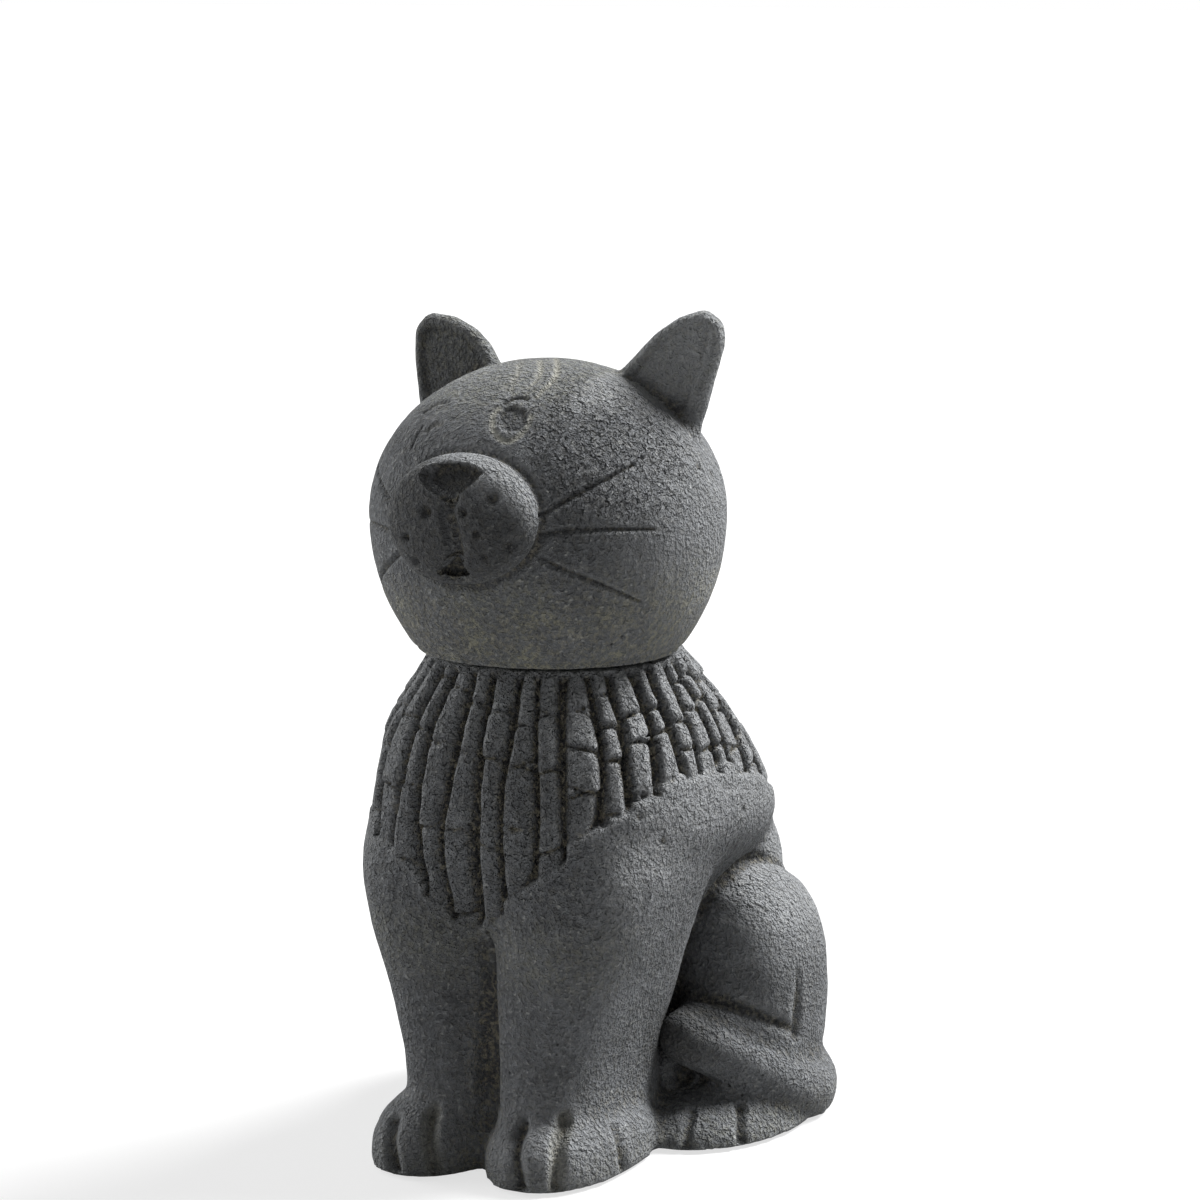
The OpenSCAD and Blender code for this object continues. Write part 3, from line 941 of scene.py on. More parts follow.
        mean = np.stack([around(place[:, k]) for k in range(3)], axis=1)
        bend = ((mean - place) * facing).sum(1)
        for _ in range(2):
            bend = 0.5 * bend + 0.5 * around(bend)
        hollow = np.clip(bend / self.hollow_bend, 0.0, 1.0)
        buried = np.clip((depth - self.shallow_cut) / self.deep_cut, 0.0, 1.0)
        # Painted shade: darker in hollows and deep cuts.
        painted_shade = np.clip(0.75 * hollow + 0.75 * buried, 0.0, 1.0)
        wear_and_light = np.clip(-bend / self.worn_bend, 0.0, 1.0) * np.clip(1.0 - depth / self.deep_cut, 0.0, 1.0)
        spot = place - NECK_AXIS
        dust = np.clip(self.dusting(spot, painted_shade), 0.0, 1.0)
        # More painted shade in each piece's shaded spots.
        painted_shade = np.clip(painted_shade + self.painted_shade_spots(spot, facing), 0.0, 1.0)
        # Painted light added to the pale of worn edges.
        wear_and_light = np.clip(wear_and_light + self.painted_light(spot, facing), 0.0, 1.0)
        layers = (painted_shade, wear_and_light, dust, self.mossy(spot), self.chalked(spot, facing), self.coarse(spot))
        for name, values in zip(STAINS_AND_LIGHT, layers):
            layer = mesh.attributes.new(name, "FLOAT", "POINT")
            layer.data.foreach_set("value", values.astype(np.float32))


@dataclass
class BodyCasting(Casting):
    """Torso, legs, haunches and tail, with the carved collar."""

    node: ClassVar[str] = "body_casting"
    piece: ClassVar[str] = "body_stone"
    body: ClassVar[Body] = Body.BASE
    voxel: float = 2.52
    collar: TuftCollar = field(default_factory=TuftCollar)
    torso: Torso = field(default_factory=Torso)
    node_groove: float = 4.5
    tail_tip: Point = (52.0, 17.0, 51.0)
    hollow_half: Flat = (27.0, 60.0)
    hollow_y: float = 45.0
    hollow_top: float = 149.0
    oval_half: Flat = (28.0, 60.0)
    oval_y: float = 46.0
    socket_radius: float = 20.0
    socket_floor: float = 165.0
    nudges: tuple[Nudge, ...] = (
        Nudge((62.0, 29.0, 48.0), (-9.0, -12.0, 3.0), 6.0, 24.0),
        Nudge((38.0, 42.0, 28.0), (10.0, -10.0, 0.0), 8.0, 24.0),
    )
    front_toes: ClassVar[tuple[Groove, ...]] = (
        Groove(((-38.5, -86.2, 26), (-35.6, -94.5, 17.6), (-32.7, -96.8, 6.4), (-32, -96, 1)), 5.5, 3.8),
        Groove(((-21.1, -79.7, 29), (-16.2, -89.8, 19.2), (-13.1, -90.2, 3.7), (-13, -90, 1)),
               5.5, 4.2, chalk=0.5),
        Groove(((-54, -74, 22), (-56, -80, 11), (-56, -80, 1)), 5.0, 3.4),
        Groove(((24.3, -79.5, 29), (26.5, -88.9, 20.7), (30.3, -93.0, 8.5), (31, -92.5, 1)), 5.5, 4.2),
        Groove(((42.6, -69.0, 31), (44.7, -79.3, 23.0), (47.0, -84.5, 6.7), (47.3, -83, 1)),
               5.5, 4.2, chalk=0.5),
        Groove(((56.1, -44.7, 23), (59.6, -45.4, 13.5), (59.3, -43.0, 2)), 4.6, 2.4),
    )
    hind_toes: ClassVar[tuple[Groove, ...]] = (
        *Groove(((82, 29.5, 17.5), (87.2, 20.7, 9), (88.3, 18.5, 1.5)), 4.0, 3.6).both_sides(),
        *Groove(((65, 12, 20), (67, 3, 11), (67.5, 0.5, 1.5)), 3.6, 2.4).both_sides(),
    )
    haunch_clefts: ClassVar[tuple[Groove, ...]] = (
        Groove(((95.3, 61.5, 46), (96, 62, 58), (95.9, 63, 67), (95.6, 64.3, 82)), 5.0, 2.3, taper=0.8),
        Groove(((-95.3, 61.5, 26), (-96, 62, 48), (-95.9, 63, 64), (-95.6, 64.3, 82)), 5.0, 2.3, taper=0.8),
    )
    haunch_crests: ClassVar[tuple[Groove, ...]] = (
        *Groove(((50, 47, 104), (54.5, 49.4, 112), (58.2, 53.5, 118), (61.4, 61.7, 123), (62.7, 76.2, 124),
                 (67.4, 86, 122.5), (70, 97, 117)), 5.5, 2.8, taper=0.4).both_sides(),
    )
    tail_crease: ClassVar[tuple[Groove, ...]] = (
        Groove(((60, 36, 63), (68, 35.5, 64), (74, 36.5, 63), (82, 40, 60), (88, 46, 56), (93, 54, 51.5),
                (95.5, 63, 47)), 4.5, 3.0, taper=0.4),
    )
    leg_crease: ClassVar[tuple[Groove, ...]] = (
        Groove(((3, -66.2, 36), (2.5, -66.8, 58), (1.5, -67.1, 81), (2, -71.5, 112)), 7.5, 2.4, taper=0.8),
    )
    pores: ClassVar[tuple[Groove, ...]] = (
        pit((79.2, -40.8, 157.4), 1.9, 2.0),
        pit((71.8, -50.8, 169.9), 1.6, 1.6),
        pit((61.6, 63.5, 123.1), 1.8, 1.8),
        pit((84.3, 27.6, 159.6), 1.8, 1.8),
    )
    cuts: tuple[Groove, ...] = (*front_toes, *hind_toes, *haunch_clefts, *haunch_crests, *tail_crease,
                                *leg_crease, *pores)

    def outer(self, points: Array) -> Array:
        """Which points lie outside the hollow, the pin's socket and the flat underside.

        Args:
            points: Points about the neck axis, in millimetres.

        Returns:
            True for each point on the skin that shows.
        """
        across, ahead, up = points.T
        half_w, half_d = self.hollow_half
        hollow = (np.abs(across) < half_w) & (np.abs(ahead - self.hollow_y) < half_d) & (up < self.hollow_top)
        oval_w, oval_d = self.oval_half
        hollow &= (across / oval_w) ** 2 + ((ahead - self.oval_y) / oval_d) ** 2 < 1.0
        socket = (np.hypot(across, ahead) < self.socket_radius) & (up > self.socket_floor)
        return ~(hollow | socket) & (up > FLOOR_EDGE)

    def fill(self, bm: BMesh) -> None:
        """Bring the corners of the collar's grooves out to the smooth torso.

        Args:
            bm: The piece's mesh.
        """
        points = self.places(bm)
        radius = np.hypot(points[:, 0], points[:, 1])
        short = self.torso.radius_at(points) - radius
        grooved = (short > 0.05) & (short < self.node_groove + 0.3) & (points[:, 2] > 110.0)
        points[:, :2] *= (1.0 + np.where(grooved, short / radius, 0.0))[:, None]
        self.settle(bm, points)

    def rub_down(self, bm: BMesh) -> None:
        """Tuck the tail's tip against the leg, and soften where forms meet, less at feet and tail.

        Args:
            bm: The piece's mesh.
        """
        points = self.places(bm)
        moved = points
        for nudge in self.nudges:
            moved = nudge.apply(moved)
        self.settle(bm, np.where(self.outer(points)[:, None], moved, points))
        skin = self.outer(points) & (points[:, 2] < 229.0)
        low = points[:, 2] < 48.0
        side = (np.abs(points[:, 0]) > 34.0) & (points[:, 1] > 18.0)
        crisp = skin & (low | (side & (points[:, 2] < 130.0)))
        self.soften(bm, skin & ~crisp, 18)
        self.soften(bm, crisp, 4)
        self.soften(bm, skin, 3)

    def fine(self, centres: Array) -> Array:
        """Which faces get smaller faces: the collar, the paws and the hind toes.

        Args:
            centres: Middles of the faces about the neck axis.

        Returns:
            True for each face to divide.
        """
        collar = self.collar.covers(centres, 6.0) & (np.hypot(centres[:, 0], centres[:, 1]) > 55.0)
        paws = (centres[:, 1] < -55.0) & (centres[:, 2] < 40.0) & (centres[:, 2] > 2.4)
        toes = (np.abs(centres[:, 0]) > 62.0) & (centres[:, 1] > -4.0) & (centres[:, 1] < 44.0)
        toes &= (centres[:, 2] < 26.0) & (centres[:, 2] > 2.4)
        return collar | paws | toes

    def carving(self, points: Array, normals: Array) -> Array:
        """Depth of the collar and of each cut.

        Args:
            points: Points about the neck axis, in millimetres.
            normals: Surface directions at the points.

        Returns:
            Depths in millimetres.
        """
        depth = self.collar.depth_at(points, normals)
        for cut in self.cuts:
            depth = np.maximum(depth, cut.depth_at(points, normals))
        return depth * self.outer(points)

    def dusting(self, points: Array, painted_shade: Array) -> Array:
        """Dust in the collar's grooves and between the toes.

        Args:
            points: Points about the neck axis, in millimetres.
            painted_shade: How hollow the surface is at the points.

        Returns:
            Shares from 0 to 1.
        """
        collar = self.collar.covers(points, 0.0)
        between = (1.0 - ease(3.0, 13.0, np.abs(points[:, 0] - 1.0))) * (points[:, 1] < -45.0)
        between *= 1.0 - ease(60.0, 110.0, points[:, 2])
        return painted_shade * np.where(collar, 0.85, 0.4) + 0.08 + 0.5 * between

    def coarse(self, points: Array) -> Array:
        """Coarse in the collar and on the shoulders, smoother down the legs."""
        collar = self.collar.covers(points, 0.0)
        return np.where(collar, 0.6, 0.28 + 0.22 * ease(80.0, 150.0, points[:, 2]))

    def painted_shade_spots(self, points: Array, normals: Array) -> Array:
        """Painted shade in the pocket between the front leg, the haunch and the tail, and on the tail's tip.

        Args:
            points: Points about the neck axis, in millimetres.
            normals: Surface directions at the points.

        Returns:
            Shares from 0 to 1.
        """
        across = 0.875 * points[:, 0] + 0.485 * points[:, 1]
        pocket = (1.0 - ease(72.0, 86.0, across)) * ease(34.0, 44.0, points[:, 0])
        pocket *= ease(-30.0, -6.0, points[:, 1])
        pocket *= ease(30.0, 42.0, points[:, 2]) * (1.0 - ease(70.0, 95.0, points[:, 2]))
        tip = 1.0 - ease(8.0, 26.0, np.linalg.norm(points - np.array(self.tail_tip), axis=1))
        return 0.4 * pocket + 0.4 * tip * (points[:, 0] > 46.0)

    def painted_light(self, points: Array, normals: Array) -> Array:
        """Painted light: paler on the upper sides of shoulders, haunches and collar, less so on the paws.

        Args:
            points: Points about the neck axis, in millimetres.
            normals: Surface directions at the points.

        Returns:
            Shares from 0 to 1.
        """
        upper = ease(0.2, 0.85, 0.75 * normals[:, 2] + 0.6 * np.abs(normals[:, 0]))
        paws = ease(-50.0, -65.0, points[:, 1]) * (1.0 - ease(30.0, 50.0, points[:, 2]))
        return upper * ease(70.0, 115.0, points[:, 2]) + 0.4 * paws

    def mossy(self, points: Array) -> Array:
        """A little staining on the chest under the collar and low on the paws.

        Args:
            points: Points about the neck axis, in millimetres.

        Returns:
            Shares from 0 to 1.
        """
        chest = ease(-40.0, -70.0, points[:, 1]) * ease(80.0, 100.0, points[:, 2])
        chest *= 1.0 - ease(110.0, 130.0, points[:, 2])
        return 0.3 * chest + 0.25 * (1.0 - ease(4.0, 24.0, points[:, 2]))


@dataclass
class HeadCasting(Casting):
    """Head with ears, muzzle and face."""

    node: ClassVar[str] = "head_casting"
    piece: ClassVar[str] = "head_stone"
    body: ClassVar[Body] = Body.HEAD
    voxel: float = 1.7
    egg_up: Point = (83.0, 80.0, 71.0)
    egg_down: Point = (83.0, 80.0, 92.0)
    pad_at: Point = (-0.5, -71.0, 6.0)
    pad_half: Point = (38.0, 21.0, 30.0)
    pad_square: float = 2.7
    fillet: float = 0.9
    crease: float = 1.1
    ear_plane: float = 14.0
    hollow_radius: float = 53.0
    mouth_radius: float = 41.0
    mouth_top: float = 262.0
    underside: float = 235.4
    pitted_at: Point = (56.0, -38.0, 36.0)
    whiskers: ClassVar[tuple[Groove, ...]] = (
        *whisker((37.4, -71.9, 8.2), (41.9, -67.7, 11.4), (57.3, -52.5, 20.8),
                 (65.9, -36.9, 27.1)).both_sides(),
        whisker((36.8, -71.7, -0.6), (47.0, -65.9, 0.7), (58.5, -56.7, 0.3), (74.0, -36.1, -2.1)),
        whisker((36.0, -71.4, -11.4), (40.8, -68.4, -14.9), (55.1, -55.8, -24.0), (65.9, -38.0, -34.2)),
        whisker((-36.8, -71.7, -0.6), (-47.0, -65.9, -0.5), (-58.5, -56.7, 0.3), (-74.0, -36.1, 0.0)),
        whisker((-36.0, -71.4, -9.4), (-47.0, -64.6, -15.9), (-58.3, -53.7, -22.5), (-65.9, -38.0, -30.0)),
    )
    philtrum: ClassVar[tuple[Groove, ...]] = (
        Groove(((2.6, -91.3, 16.7), (0.9, -91.9, 11.5), (2.7, -92.0, 5.8), (3.7, -91.7, -0.8),
                (4.4, -91.0, -6.2), (2.9, -90.1, -9.8)), 6.0, 4.2),
    )
    near_eye: ClassVar[tuple[Groove, ...]] = (
        # The eye's ring is drawn paler along its groove.
        Groove(((7.2, -52.7, 53.0), (6.2, -55.5, 50.8), (7.2, -59.0, 47.5), (9.5, -61.8, 44.2),
                (13.2, -63.8, 41.1), (17.3, -64.0, 39.7), (20.7, -61.8, 41.2), (22.6, -58.7, 44.0),
                (23.4, -55.3, 47.0), (22.8, -52.1, 49.9)), 2.3, 0.6, chalk=0.85),
        Groove(((11.5, -58.6, 47.1), (15.5, -58.3, 46.5), (19.5, -56.5, 46.9)), 3.4, 1.1),
        Groove(((8.6, -49.2, 55.4), (11.8, -45.9, 57.1), (15.0, -44.7, 57.3), (17.5, -44.8, 56.7)), 1.6, 1.3),
    )
    far_eye: ClassVar[tuple[Groove, ...]] = (
        Groove(((-35.0, -60.2, 36.4), (-33.9, -56.4, 41.7), (-32.3, -53.7, 45.3)), 1.7, 1.9),
        Groove(((-36.6, -44.6, 50.5), (-30.9, -43.5, 53.8), (-22.8, -45.3, 55.5)), 1.7, 1.2),
        Groove(((-27.6, -57.4, 43.9), (-24.0, -56.0, 46.0), (-20.5, -57.4, 46.6)), 2.2, 1.1, chalk=0.25),
    )
    forehead_lines: ClassVar[tuple[Groove, ...]] = (
        Groove(((-3.4, -13.8, 70.0), (3.2, -27.0, 66.8), (5.3, -34.7, 63.8), (8.7, -43.0, 59.3)),
               2.0, 0.8, taper=0.5, chalk=0.5),
        Groove(((2.8, -6.1, 70.8), (11.6, -20.9, 67.7), (14.9, -30.8, 64.1), (14.8, -38.4, 60.8)),
               2.0, 1.0, taper=0.5, chalk=0.7),
        Groove(((5.5, 4.6, 70.7), (17.1, -15.4, 67.9), (21.6, -27.5, 63.8), (21.3, -37.3, 59.8),
                (21.1, -42.5, 57.1)), 2.0, 1.1, taper=0.4, chalk=0.8),
    )
    muzzle_pits: ClassVar[tuple[Groove, ...]] = (
        pit((-9.9, -91.6, 11.1), 4.2, 3.4),
        pit((-22.3, -89.3, -0.6), 3.2, 2.8),
        pit((-34.5, -80.5, -8.0), 3.4, 3.0),
        pit((-19.1, -86.7, -11.8), 3.6, 3.0),
        pit((8.4, -91.6, 11.0), 3.8, 3.2),
        pit((22.3, -87.8, 17.7), 4.4, 3.4),
        pit((28.4, -85.1, -4.1), 4.8, 3.2),
        pit((14.8, -91.0, 1.5), 3.0, 2.0),
        pit((16.6, -88.4, -9.0), 3.0, 2.0),
    )
    pores: ClassVar[tuple[Groove, ...]] = (
        pit((76.8, -11.8, 23.7), 1.8, 1.8),
        pit((78.7, 1.3, 21.4), 2.2, 2.0),
        pit((78.8, 14.0, 17.4), 1.8, 1.6),
        pit((67.4, -31.6, 29.5), 1.6, 1.4),
        pit((41.7, 7.3, 60.5), 1.6, 1.4),
    )
    scratches: ClassVar[tuple[Groove, ...]] = (
        Groove(((56.5, -47.8, -36.0), (58.6, -45.0, -40.5)), 1.3, 0.8, chalk=0.5),
        Groove(((58.6, -43.5, -39.5), (59.6, -40.0, -44.0)), 1.3, 0.8, chalk=0.5),
    )
    cuts: tuple[Groove, ...] = (*whiskers, *philtrum, *near_eye, *far_eye, *forehead_lines,
                                *muzzle_pits, *pores, *scratches)
    muzzle_front: ClassVar[Flat] = (-100.0, -60.0)
    eye_front: ClassVar[Flat] = (-70.0, -40.0)
    ear_front: ClassVar[Flat] = (-4.0, 18.0)
    nose: ClassVar[Recess] = Recess(
        ((-11.3, 24.2), (-10.1, 29.7), (-5.2, 32.9), (3.0, 32.9), (17.0, 28.6), (12.7, 24.4),
         (7.2, 19.6), (2.5, 15.5), (-3.1, 19.2), (-8.3, 21.9)),
        depth=1.7, edge=3.4, front=muzzle_front, tilt=0.03, recess_shade=0.95)
    mouth: ClassVar[Recess] = Recess(
        ((-7.9, -16.0), (-0.6, -10.8), (3.1, -8.9), (5.6, -11.7), (8.2, -17.9), (4.0, -21.1),
         (-3.9, -23.0), (-7.1, -20.7)),
        depth=3.4, edge=2.2, front=muzzle_front, tilt=0.09, recess_shade=0.45)
    near_eyeball: ClassVar[Recess] = Recess(
        ((8.2, 51.3), (9.8, 47.0), (12.7, 44.6), (16.4, 43.3), (20.5, 43.9), (22.6, 46.5),
         (21.9, 49.9), (19.1, 52.8), (13.4, 54.3), (9.5, 53.4)),
        depth=1.4, edge=1.8, front=eye_front, recess_shade=0.5)
    ear_left_face: ClassVar[Recess] = Recess(
        ((60, 28), (81, 76), (80.5, 83), (76, 87), (65, 84.5), (55, 78.5), (28, 52)),
        depth=1.7, edge=3.6, front=ear_front, facing=-0.5)
    ear_right_face: ClassVar[Recess] = Recess(
        ((-66, 20), (-72, 69), (-71, 82), (-66, 86.5), (-54.5, 85), (-44, 80.5), (-37, 74), (-27, 52)),
        depth=1.7, edge=3.6, front=ear_front, facing=-0.5)
    patches: tuple[Recess, ...] = (nose, mouth, near_eyeball, ear_left_face, ear_right_face)

    def outer(self, points: Array) -> Array:
        """Which points lie outside the hollow and the flat underside.

        Args:
            points: Points about the neck axis, in millimetres.

        Returns:
            True for each point on the skin that shows.
        """
        away = np.linalg.norm(points - HEAD_MIDDLE, axis=1)
        mouth = np.hypot(points[:, 0], points[:, 1]) < self.mouth_radius
        mouth &= points[:, 2] < self.mouth_top
        return (away > self.hollow_radius) & ~mouth & (points[:, 2] > self.underside)

    def rub_down(self, bm: BMesh) -> None:
        """Soften the head lightly, so that the muzzle and ears keep their edges.

        Args:
            bm: The piece's mesh.
        """
        points = self.places(bm)
        local = head_frame(points)
        skin = self.outer(points) & (points[:, 2] > 238.0)
        ears = local[:, 2] > 45.0
        muzzle = (local[:, 1] < -58.0) & (np.abs(local[:, 0]) < 46.0) & (np.abs(local[:, 2]) < 40.0)
        self.soften(bm, skin & ~ears & ~muzzle, 8)
        self.soften(bm, skin & muzzle, 14)
        self.soften(bm, skin, 3)

    def painted_rim_light(self, points: Array) -> Array:
        """Share of the muzzle pad's upper left rim, which carries a painted highlight.

        Args:
            points: Points about the neck axis, in millimetres.

        Returns:
            Shares from 0 to 1.
        """
        local = head_frame(points) - np.array(self.pad_at)
        outward = 0.6 * local[:, 0] / self.pad_half[0] + 0.8 * local[:, 2] / self.pad_half[2]
        return ease(0.4, 0.85, outward) * (1.0 - ease(1.0, 5.0, np.abs(self.skull(points)[1])))

    def own_frame(self, points: Array, normals: Array) -> tuple[Array, Array]:
        """Points and surface directions in the head's frame."""
        return head_frame(points), head_frame(normals + HEAD_MIDDLE)

    def skull(self, points: Array) -> tuple[Array, Array]:
        """Distances from the egg of the skull and from the muzzle pad.

        Args:
            points: Points about the neck axis.

        Returns:
            Both distances in millimetres, below 0 inside.
        """
        moved = points - HEAD_MIDDLE
        egg = dome(moved, np.where(moved[:, 2:] > 0.0, self.egg_up, self.egg_down))
        pad = dome(head_frame(points) - np.array(self.pad_at), np.array(self.pad_half), self.pad_square)
        return egg, pad

    def form(self, points: Array) -> Array:
        """Distance from skull and muzzle pad together, with a narrow fillet between them.

        Args:
            points: Points about the neck axis, in millimetres.

        Returns:
            Distances in millimetres, below 0 inside.
        """
        egg, pad = self.skull(points)
        share = np.clip(0.5 + 0.5 * (pad - egg) / self.fillet, 0.0, 1.0)
        return pad * (1.0 - share) + egg * share - self.fillet * share * (1.0 - share)

    def true_up(self, bm: BMesh) -> None:
        """Bring skull and muzzle pad to their exact forms, clear of the ears and the underside.

        Args:
            bm: The piece's mesh.
        """
        points = self.places(bm)
        local = head_frame(points)
        plate = np.abs(local[:, 1] - self.ear_plane - 0.105 * (np.abs(local[:, 0]) - 47.0))
        ear = (1.0 - ease(9.5, 14.0, plate)) * ease(4.0, 14.0, local[:, 2])
        ear *= ease(14.0, 22.0, np.abs(local[:, 0]))
        held = self.outer(points) * (1.0 - ear) * ease(236.0, 240.0, points[:, 2])
        held *= np.abs(self.form(points)) < 4.0
        step = 0.05
        for _ in range(3):
            rises = [self.form(points + axis) - self.form(points - axis) for axis in step * np.eye(3)]
            slope = np.stack(rises, axis=1) / (2.0 * step)
            move = held * self.form(points) / np.maximum((slope**2).sum(axis=1), 1e-6)
            points = points - slope * np.clip(move, -2.0, 2.0)[:, None]
        self.settle(bm, points)

    def fine(self, centres: Array) -> Array:
        """Which faces get smaller faces: muzzle, eyes, forehead and whiskers.

        Args:
            centres: Middles of the faces about the neck axis.

        Returns:
            True for each face to divide.
        """
        local = head_frame(centres)
        front = local[:, 1] < 4.0
        face = front & (np.abs(local[:, 0]) < 46.0) & (local[:, 2] > -30.0)
        cheeks = front & (local[:, 1] < -30.0) & (np.abs(local[:, 2]) < 40.0)
        out = np.linalg.norm(local, axis=1) > 56.0
        return out & (face | cheeks)

    def carving(self, points: Array, normals: Array) -> Array:
        """Depth of each cut and sunk patch of the face, and of the crease round the muzzle pad.

        Args:
            points: Points about the neck axis, in millimetres.
            normals: Surface directions at the points.

        Returns:
            Depths in millimetres.
        """
        local, facing = self.own_frame(points, normals)
        egg, pad = self.skull(points)
        depth = self.crease * (1.0 - ease(0.4, 3.0, np.maximum(np.abs(egg), np.abs(pad))))
        for patch in self.patches:
            depth = np.maximum(depth, patch.depth_at(local, facing))
        for cut in self.cuts:
            depth = np.maximum(depth, cut.depth_at(local, facing))
        return depth * self.outer(points)

    def dusting(self, points: Array, painted_shade: Array) -> Array:
        """Dust in the cuts and under the chin."""
        chin = ease(10.0, 48.0, -head_frame(points)[:, 2])
        return 0.4 * painted_shade + 0.08 + 0.22 * chin

    def coarse(self, points: Array) -> Array:
        """Pitted on the cat's left cheek, between eye, ear and whiskers."""
        away = np.linalg.norm(head_frame(points) - np.array(self.pitted_at), axis=1)
        return 0.22 + 0.7 * (1.0 - ease(20.0, 58.0, away))

    def painted_shade_spots(self, points: Array, normals: Array) -> Array:
        """Painted shade on the muzzle pad and in the right ear, and in the sunk patches, most of all in the
        nose.

        Args:
            points: Points about the neck axis, in millimetres.
            normals: Surface directions at the points.

        Returns:
            Shares from 0 to 1.
        """
        local, facing = self.own_frame(points, normals)
        pad = self.skull(points)[1]
        share = 0.72 * (1.0 - ease(1.0, 5.0, np.abs(pad))) * ease(-68.0, -88.0, local[:, 1])
        # Less painted shade where the rim carries its painted highlight.
        share *= 1.0 - 0.8 * self.painted_rim_light(points)
        share += 0.5 * ease(30.0, 40.0, -local[:, 0]) * ease(44.0, 56.0, local[:, 2]) * (facing[:, 1] < -0.4)
        for patch in self.patches:
            share = np.maximum(share, patch.recess_shade * patch.depth_at(local, facing) / patch.depth)
        return share

    def painted_light(self, points: Array, normals: Array) -> Array:
        """Painted light in the left ear's dish and on the left side of the head, and a painted highlight on
        the muzzle's rim.

        Args:
            points: Points about the neck axis, in millimetres.
            normals: Surface directions at the points.

        Returns:
            Shares from 0 to 1.
        """
        local = head_frame(points)
        ear = ease(30.0, 40.0, local[:, 0]) * ease(44.0, 56.0, local[:, 2])
        return ear + 0.5 * ease(45.0, 80.0, local[:, 0]) * (1.0 - ear) + 0.6 * self.painted_rim_light(points)

    def mossy(self, points: Array) -> Array:
        """Olive staining low on the head and a trace in the ears.

        Args:
            points: Points about the neck axis, in millimetres.

        Returns:
            Shares from 0 to 1.
        """
        local = head_frame(points)
        low = ease(8.0, 50.0, -local[:, 2]) * (0.35 + 0.9 * ease(0.35, 0.65, uneven(points, 17.0, 3.0)))
        return 0.75 * low + 0.3 * ease(44.0, 60.0, local[:, 2])


@dataclass(frozen=True)
class Fittings:
    """The parts inside the seam and under the feet, shown with the frame's own shapes."""

    mortar: PlainFinish = PlainFinish(
        "grey_mortar", (0.4, 0.385, 0.35, 1), (0.28, 0.27, 0.245, 1), (0.95, 0.85))
    steel: PlainFinish = PlainFinish(
        "brushed_steel", (0.6, 0.6, 0.61, 1), (0.46, 0.46, 0.47, 1), (0.38, 0.26), 1.0, 700.0, 0.08)
    rubber: PlainFinish = PlainFinish(
        "black_rubber", (0.035, 0.035, 0.037, 1), (0.022, 0.022, 0.024, 1), (0.8, 0.65))
    nylon: PlainFinish = PlainFinish("ivory_nylon", (0.7, 0.66, 0.55, 1), (0.62, 0.58, 0.48, 1), (0.5, 0.4))
    pads: tuple[str, ...] = ("pad_front_left", "pad_front_right", "pad_rear_left", "pad_rear_right")

    def dress(self) -> None:
        """Give each fitting its finish."""
        wanted = ((self.mortar, ("pin_mortar", "head_plug")), (self.steel, ("neck_pin",)),
                  (self.rubber, ("neck_washer", *self.pads)), (self.nylon, ("pin_sleeve",)))
        for finish, nodes in wanted:
            made = finish.material()
            for node in nodes:
                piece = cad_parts[node]
                piece.data.materials.clear()
                piece.data.materials.append(made)
                LOG.info("%s: %s", node, finish.name)


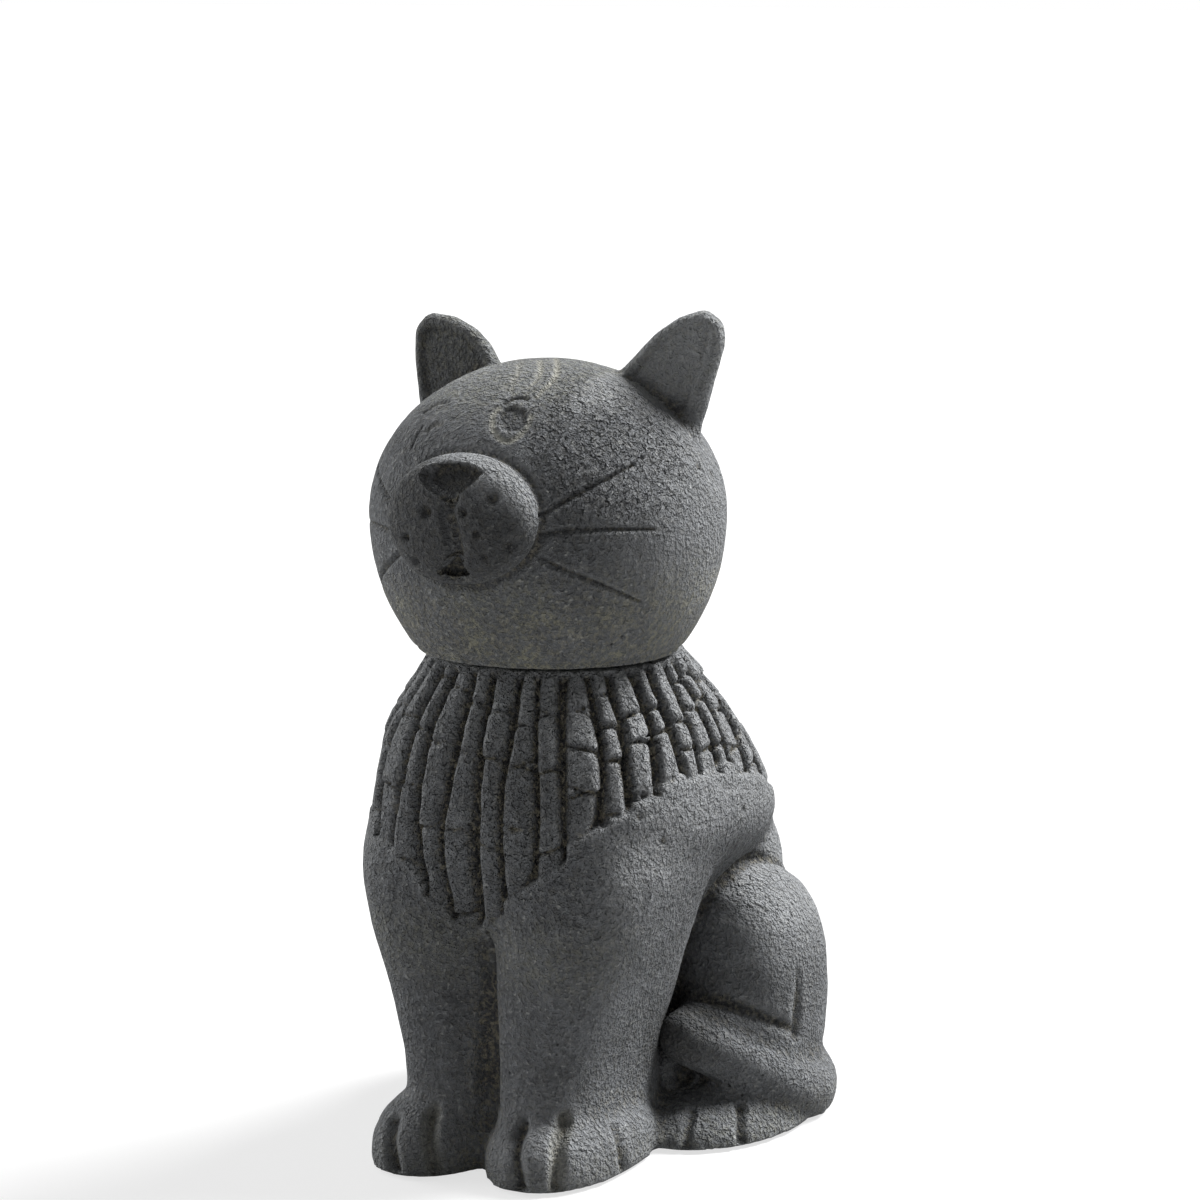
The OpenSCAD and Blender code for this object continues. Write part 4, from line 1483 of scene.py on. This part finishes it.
@dataclass(frozen=True)
class Studio:
    """Pale floor, soft light and the photograph's camera."""

    turn: float = 29.0
    away: float = 1750.0
    height: float = 545.0
    aim_side: float = 20.0
    aim_height: float = 255.0
    lens: float = 115.5
    sun: float = 7.1
    sun_angle: float = 30.0
    fill: float = 2.2
    fill_angle: float = 50.0
    sky: float = 0.15
    floor_colour: Colour = (0.97, 0.97, 0.97, 1.0)
    floor_bounce: Colour = (0.3, 0.3, 0.3, 1.0)
    floor_glow: float = 0.7

    def camera(self) -> None:
        """Place the camera where the photograph was taken."""
        a = math.radians(self.turn)
        c, s = math.cos(a), math.sin(a)
        spot = NECK_AXIS + np.array([s * self.away, -c * self.away, self.height])
        aim = NECK_AXIS + np.array([c * self.aim_side, s * self.aim_side, self.aim_height])
        data = bpy.data.cameras.new("camera")
        data.lens = self.lens
        data.sensor_width = 36.0
        data.clip_start = 0.05
        data.clip_end = 200.0
        camera = bpy.data.objects.new("camera", data)
        camera.location = Vector(spot * MM)
        camera.rotation_euler = Vector((aim - spot) * MM).to_track_quat("-Z", "Y").to_euler()
        bpy.context.scene.collection.objects.link(camera)
        bpy.context.scene.camera = camera

    def shown(self, wire: Wiring) -> Socket:
        """Mask of the rays that show the backdrop: straight, mirrored or through glass.

        Args:
            wire: Wiring of the tree to add the mask to.

        Returns:
            The mask's socket.
        """
        path = wire.add("LightPath")
        seen = wire.sum("MAXIMUM", path.outputs["Is Camera Ray"], path.outputs["Is Glossy Ray"])
        return wire.sum("MAXIMUM", seen, path.outputs["Is Transmission Ray"])

    def light(self) -> None:
        """A soft key light from the upper right, a weak one from the left and even light all round."""
        a = math.radians(self.turn)
        right = Vector((math.cos(a), math.sin(a), 0.0))
        viewer = Vector((math.sin(a), -math.cos(a), 0.0))
        up = Vector((0.0, 0.0, 1.0))
        key = right * 0.62 + up * 0.73 - viewer * 0.28
        weak = up * 0.4 - right - viewer * 0.45
        lamps = (("key", self.sun, self.sun_angle, key), ("fill", self.fill, self.fill_angle, weak))
        for name, strength, angle, toward in lamps:
            data = bpy.data.lights.new(name, "SUN")
            data.energy = strength
            data.angle = math.radians(angle)
            lamp = bpy.data.objects.new(name, data)
            lamp.rotation_euler = toward.to_track_quat("Z", "Y").to_euler()
            bpy.context.scene.collection.objects.link(lamp)
        world = bpy.data.worlds.new("studio")
        world.use_nodes = True
        bpy.context.scene.world = world
        tree = world.node_tree
        tree.nodes.clear()
        wire = Wiring(tree)
        soft = wire.put(wire.add("Background"), Color=WHITE, Strength=self.sky)
        white = wire.put(wire.add("Background"), Color=WHITE, Strength=1.0)
        wire.put(wire.add("OutputWorld"), Surface=wire.blend(self.shown(wire), soft, white))

    def floor(self) -> None:
        """A plain pale floor under the statue."""
        bm = bmesh.new()
        bmesh.ops.create_grid(bm, x_segments=1, y_segments=1, size=40.0)
        mesh = bpy.data.meshes.new("studio_floor")
        bm.to_mesh(mesh)
        bm.free()
        pale = bpy.data.materials.new("pale_floor")
        pale.use_nodes = True
        bsdf = pale.node_tree.nodes["Principled BSDF"]
        wire = Wiring(pale.node_tree)
        seen = self.shown(wire)
        wire.put(bsdf, Base_Color=wire.mix(seen, self.floor_bounce, self.floor_colour), Roughness=1.0,
                 Specular_IOR_Level=0.0)
        glow = wire.put(wire.add("Emission"), Color=WHITE, Strength=1.0)
        lit = wire.blend(wire.sum("MULTIPLY", seen, self.floor_glow), bsdf, glow)
        wire.put(pale.node_tree.nodes["Material Output"], Surface=lit)
        mesh.materials.append(pale)
        floor = bpy.data.objects.new("studio_floor", mesh)
        bpy.context.scene.collection.objects.link(floor)


def main() -> None:
    """Build the statue's looks and its studio."""
    logging.basicConfig(level=logging.INFO, format="%(name)s: %(message)s")
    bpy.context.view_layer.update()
    bpy.context.scene.view_settings.view_transform = "Standard"
    stone = StoneFinish().material()
    BodyCasting().build(stone)
    HeadCasting().build(stone)
    Fittings().dress()
    studio = Studio()
    studio.floor()
    studio.light()
    studio.camera()


if __name__ == "__main__":
    main()
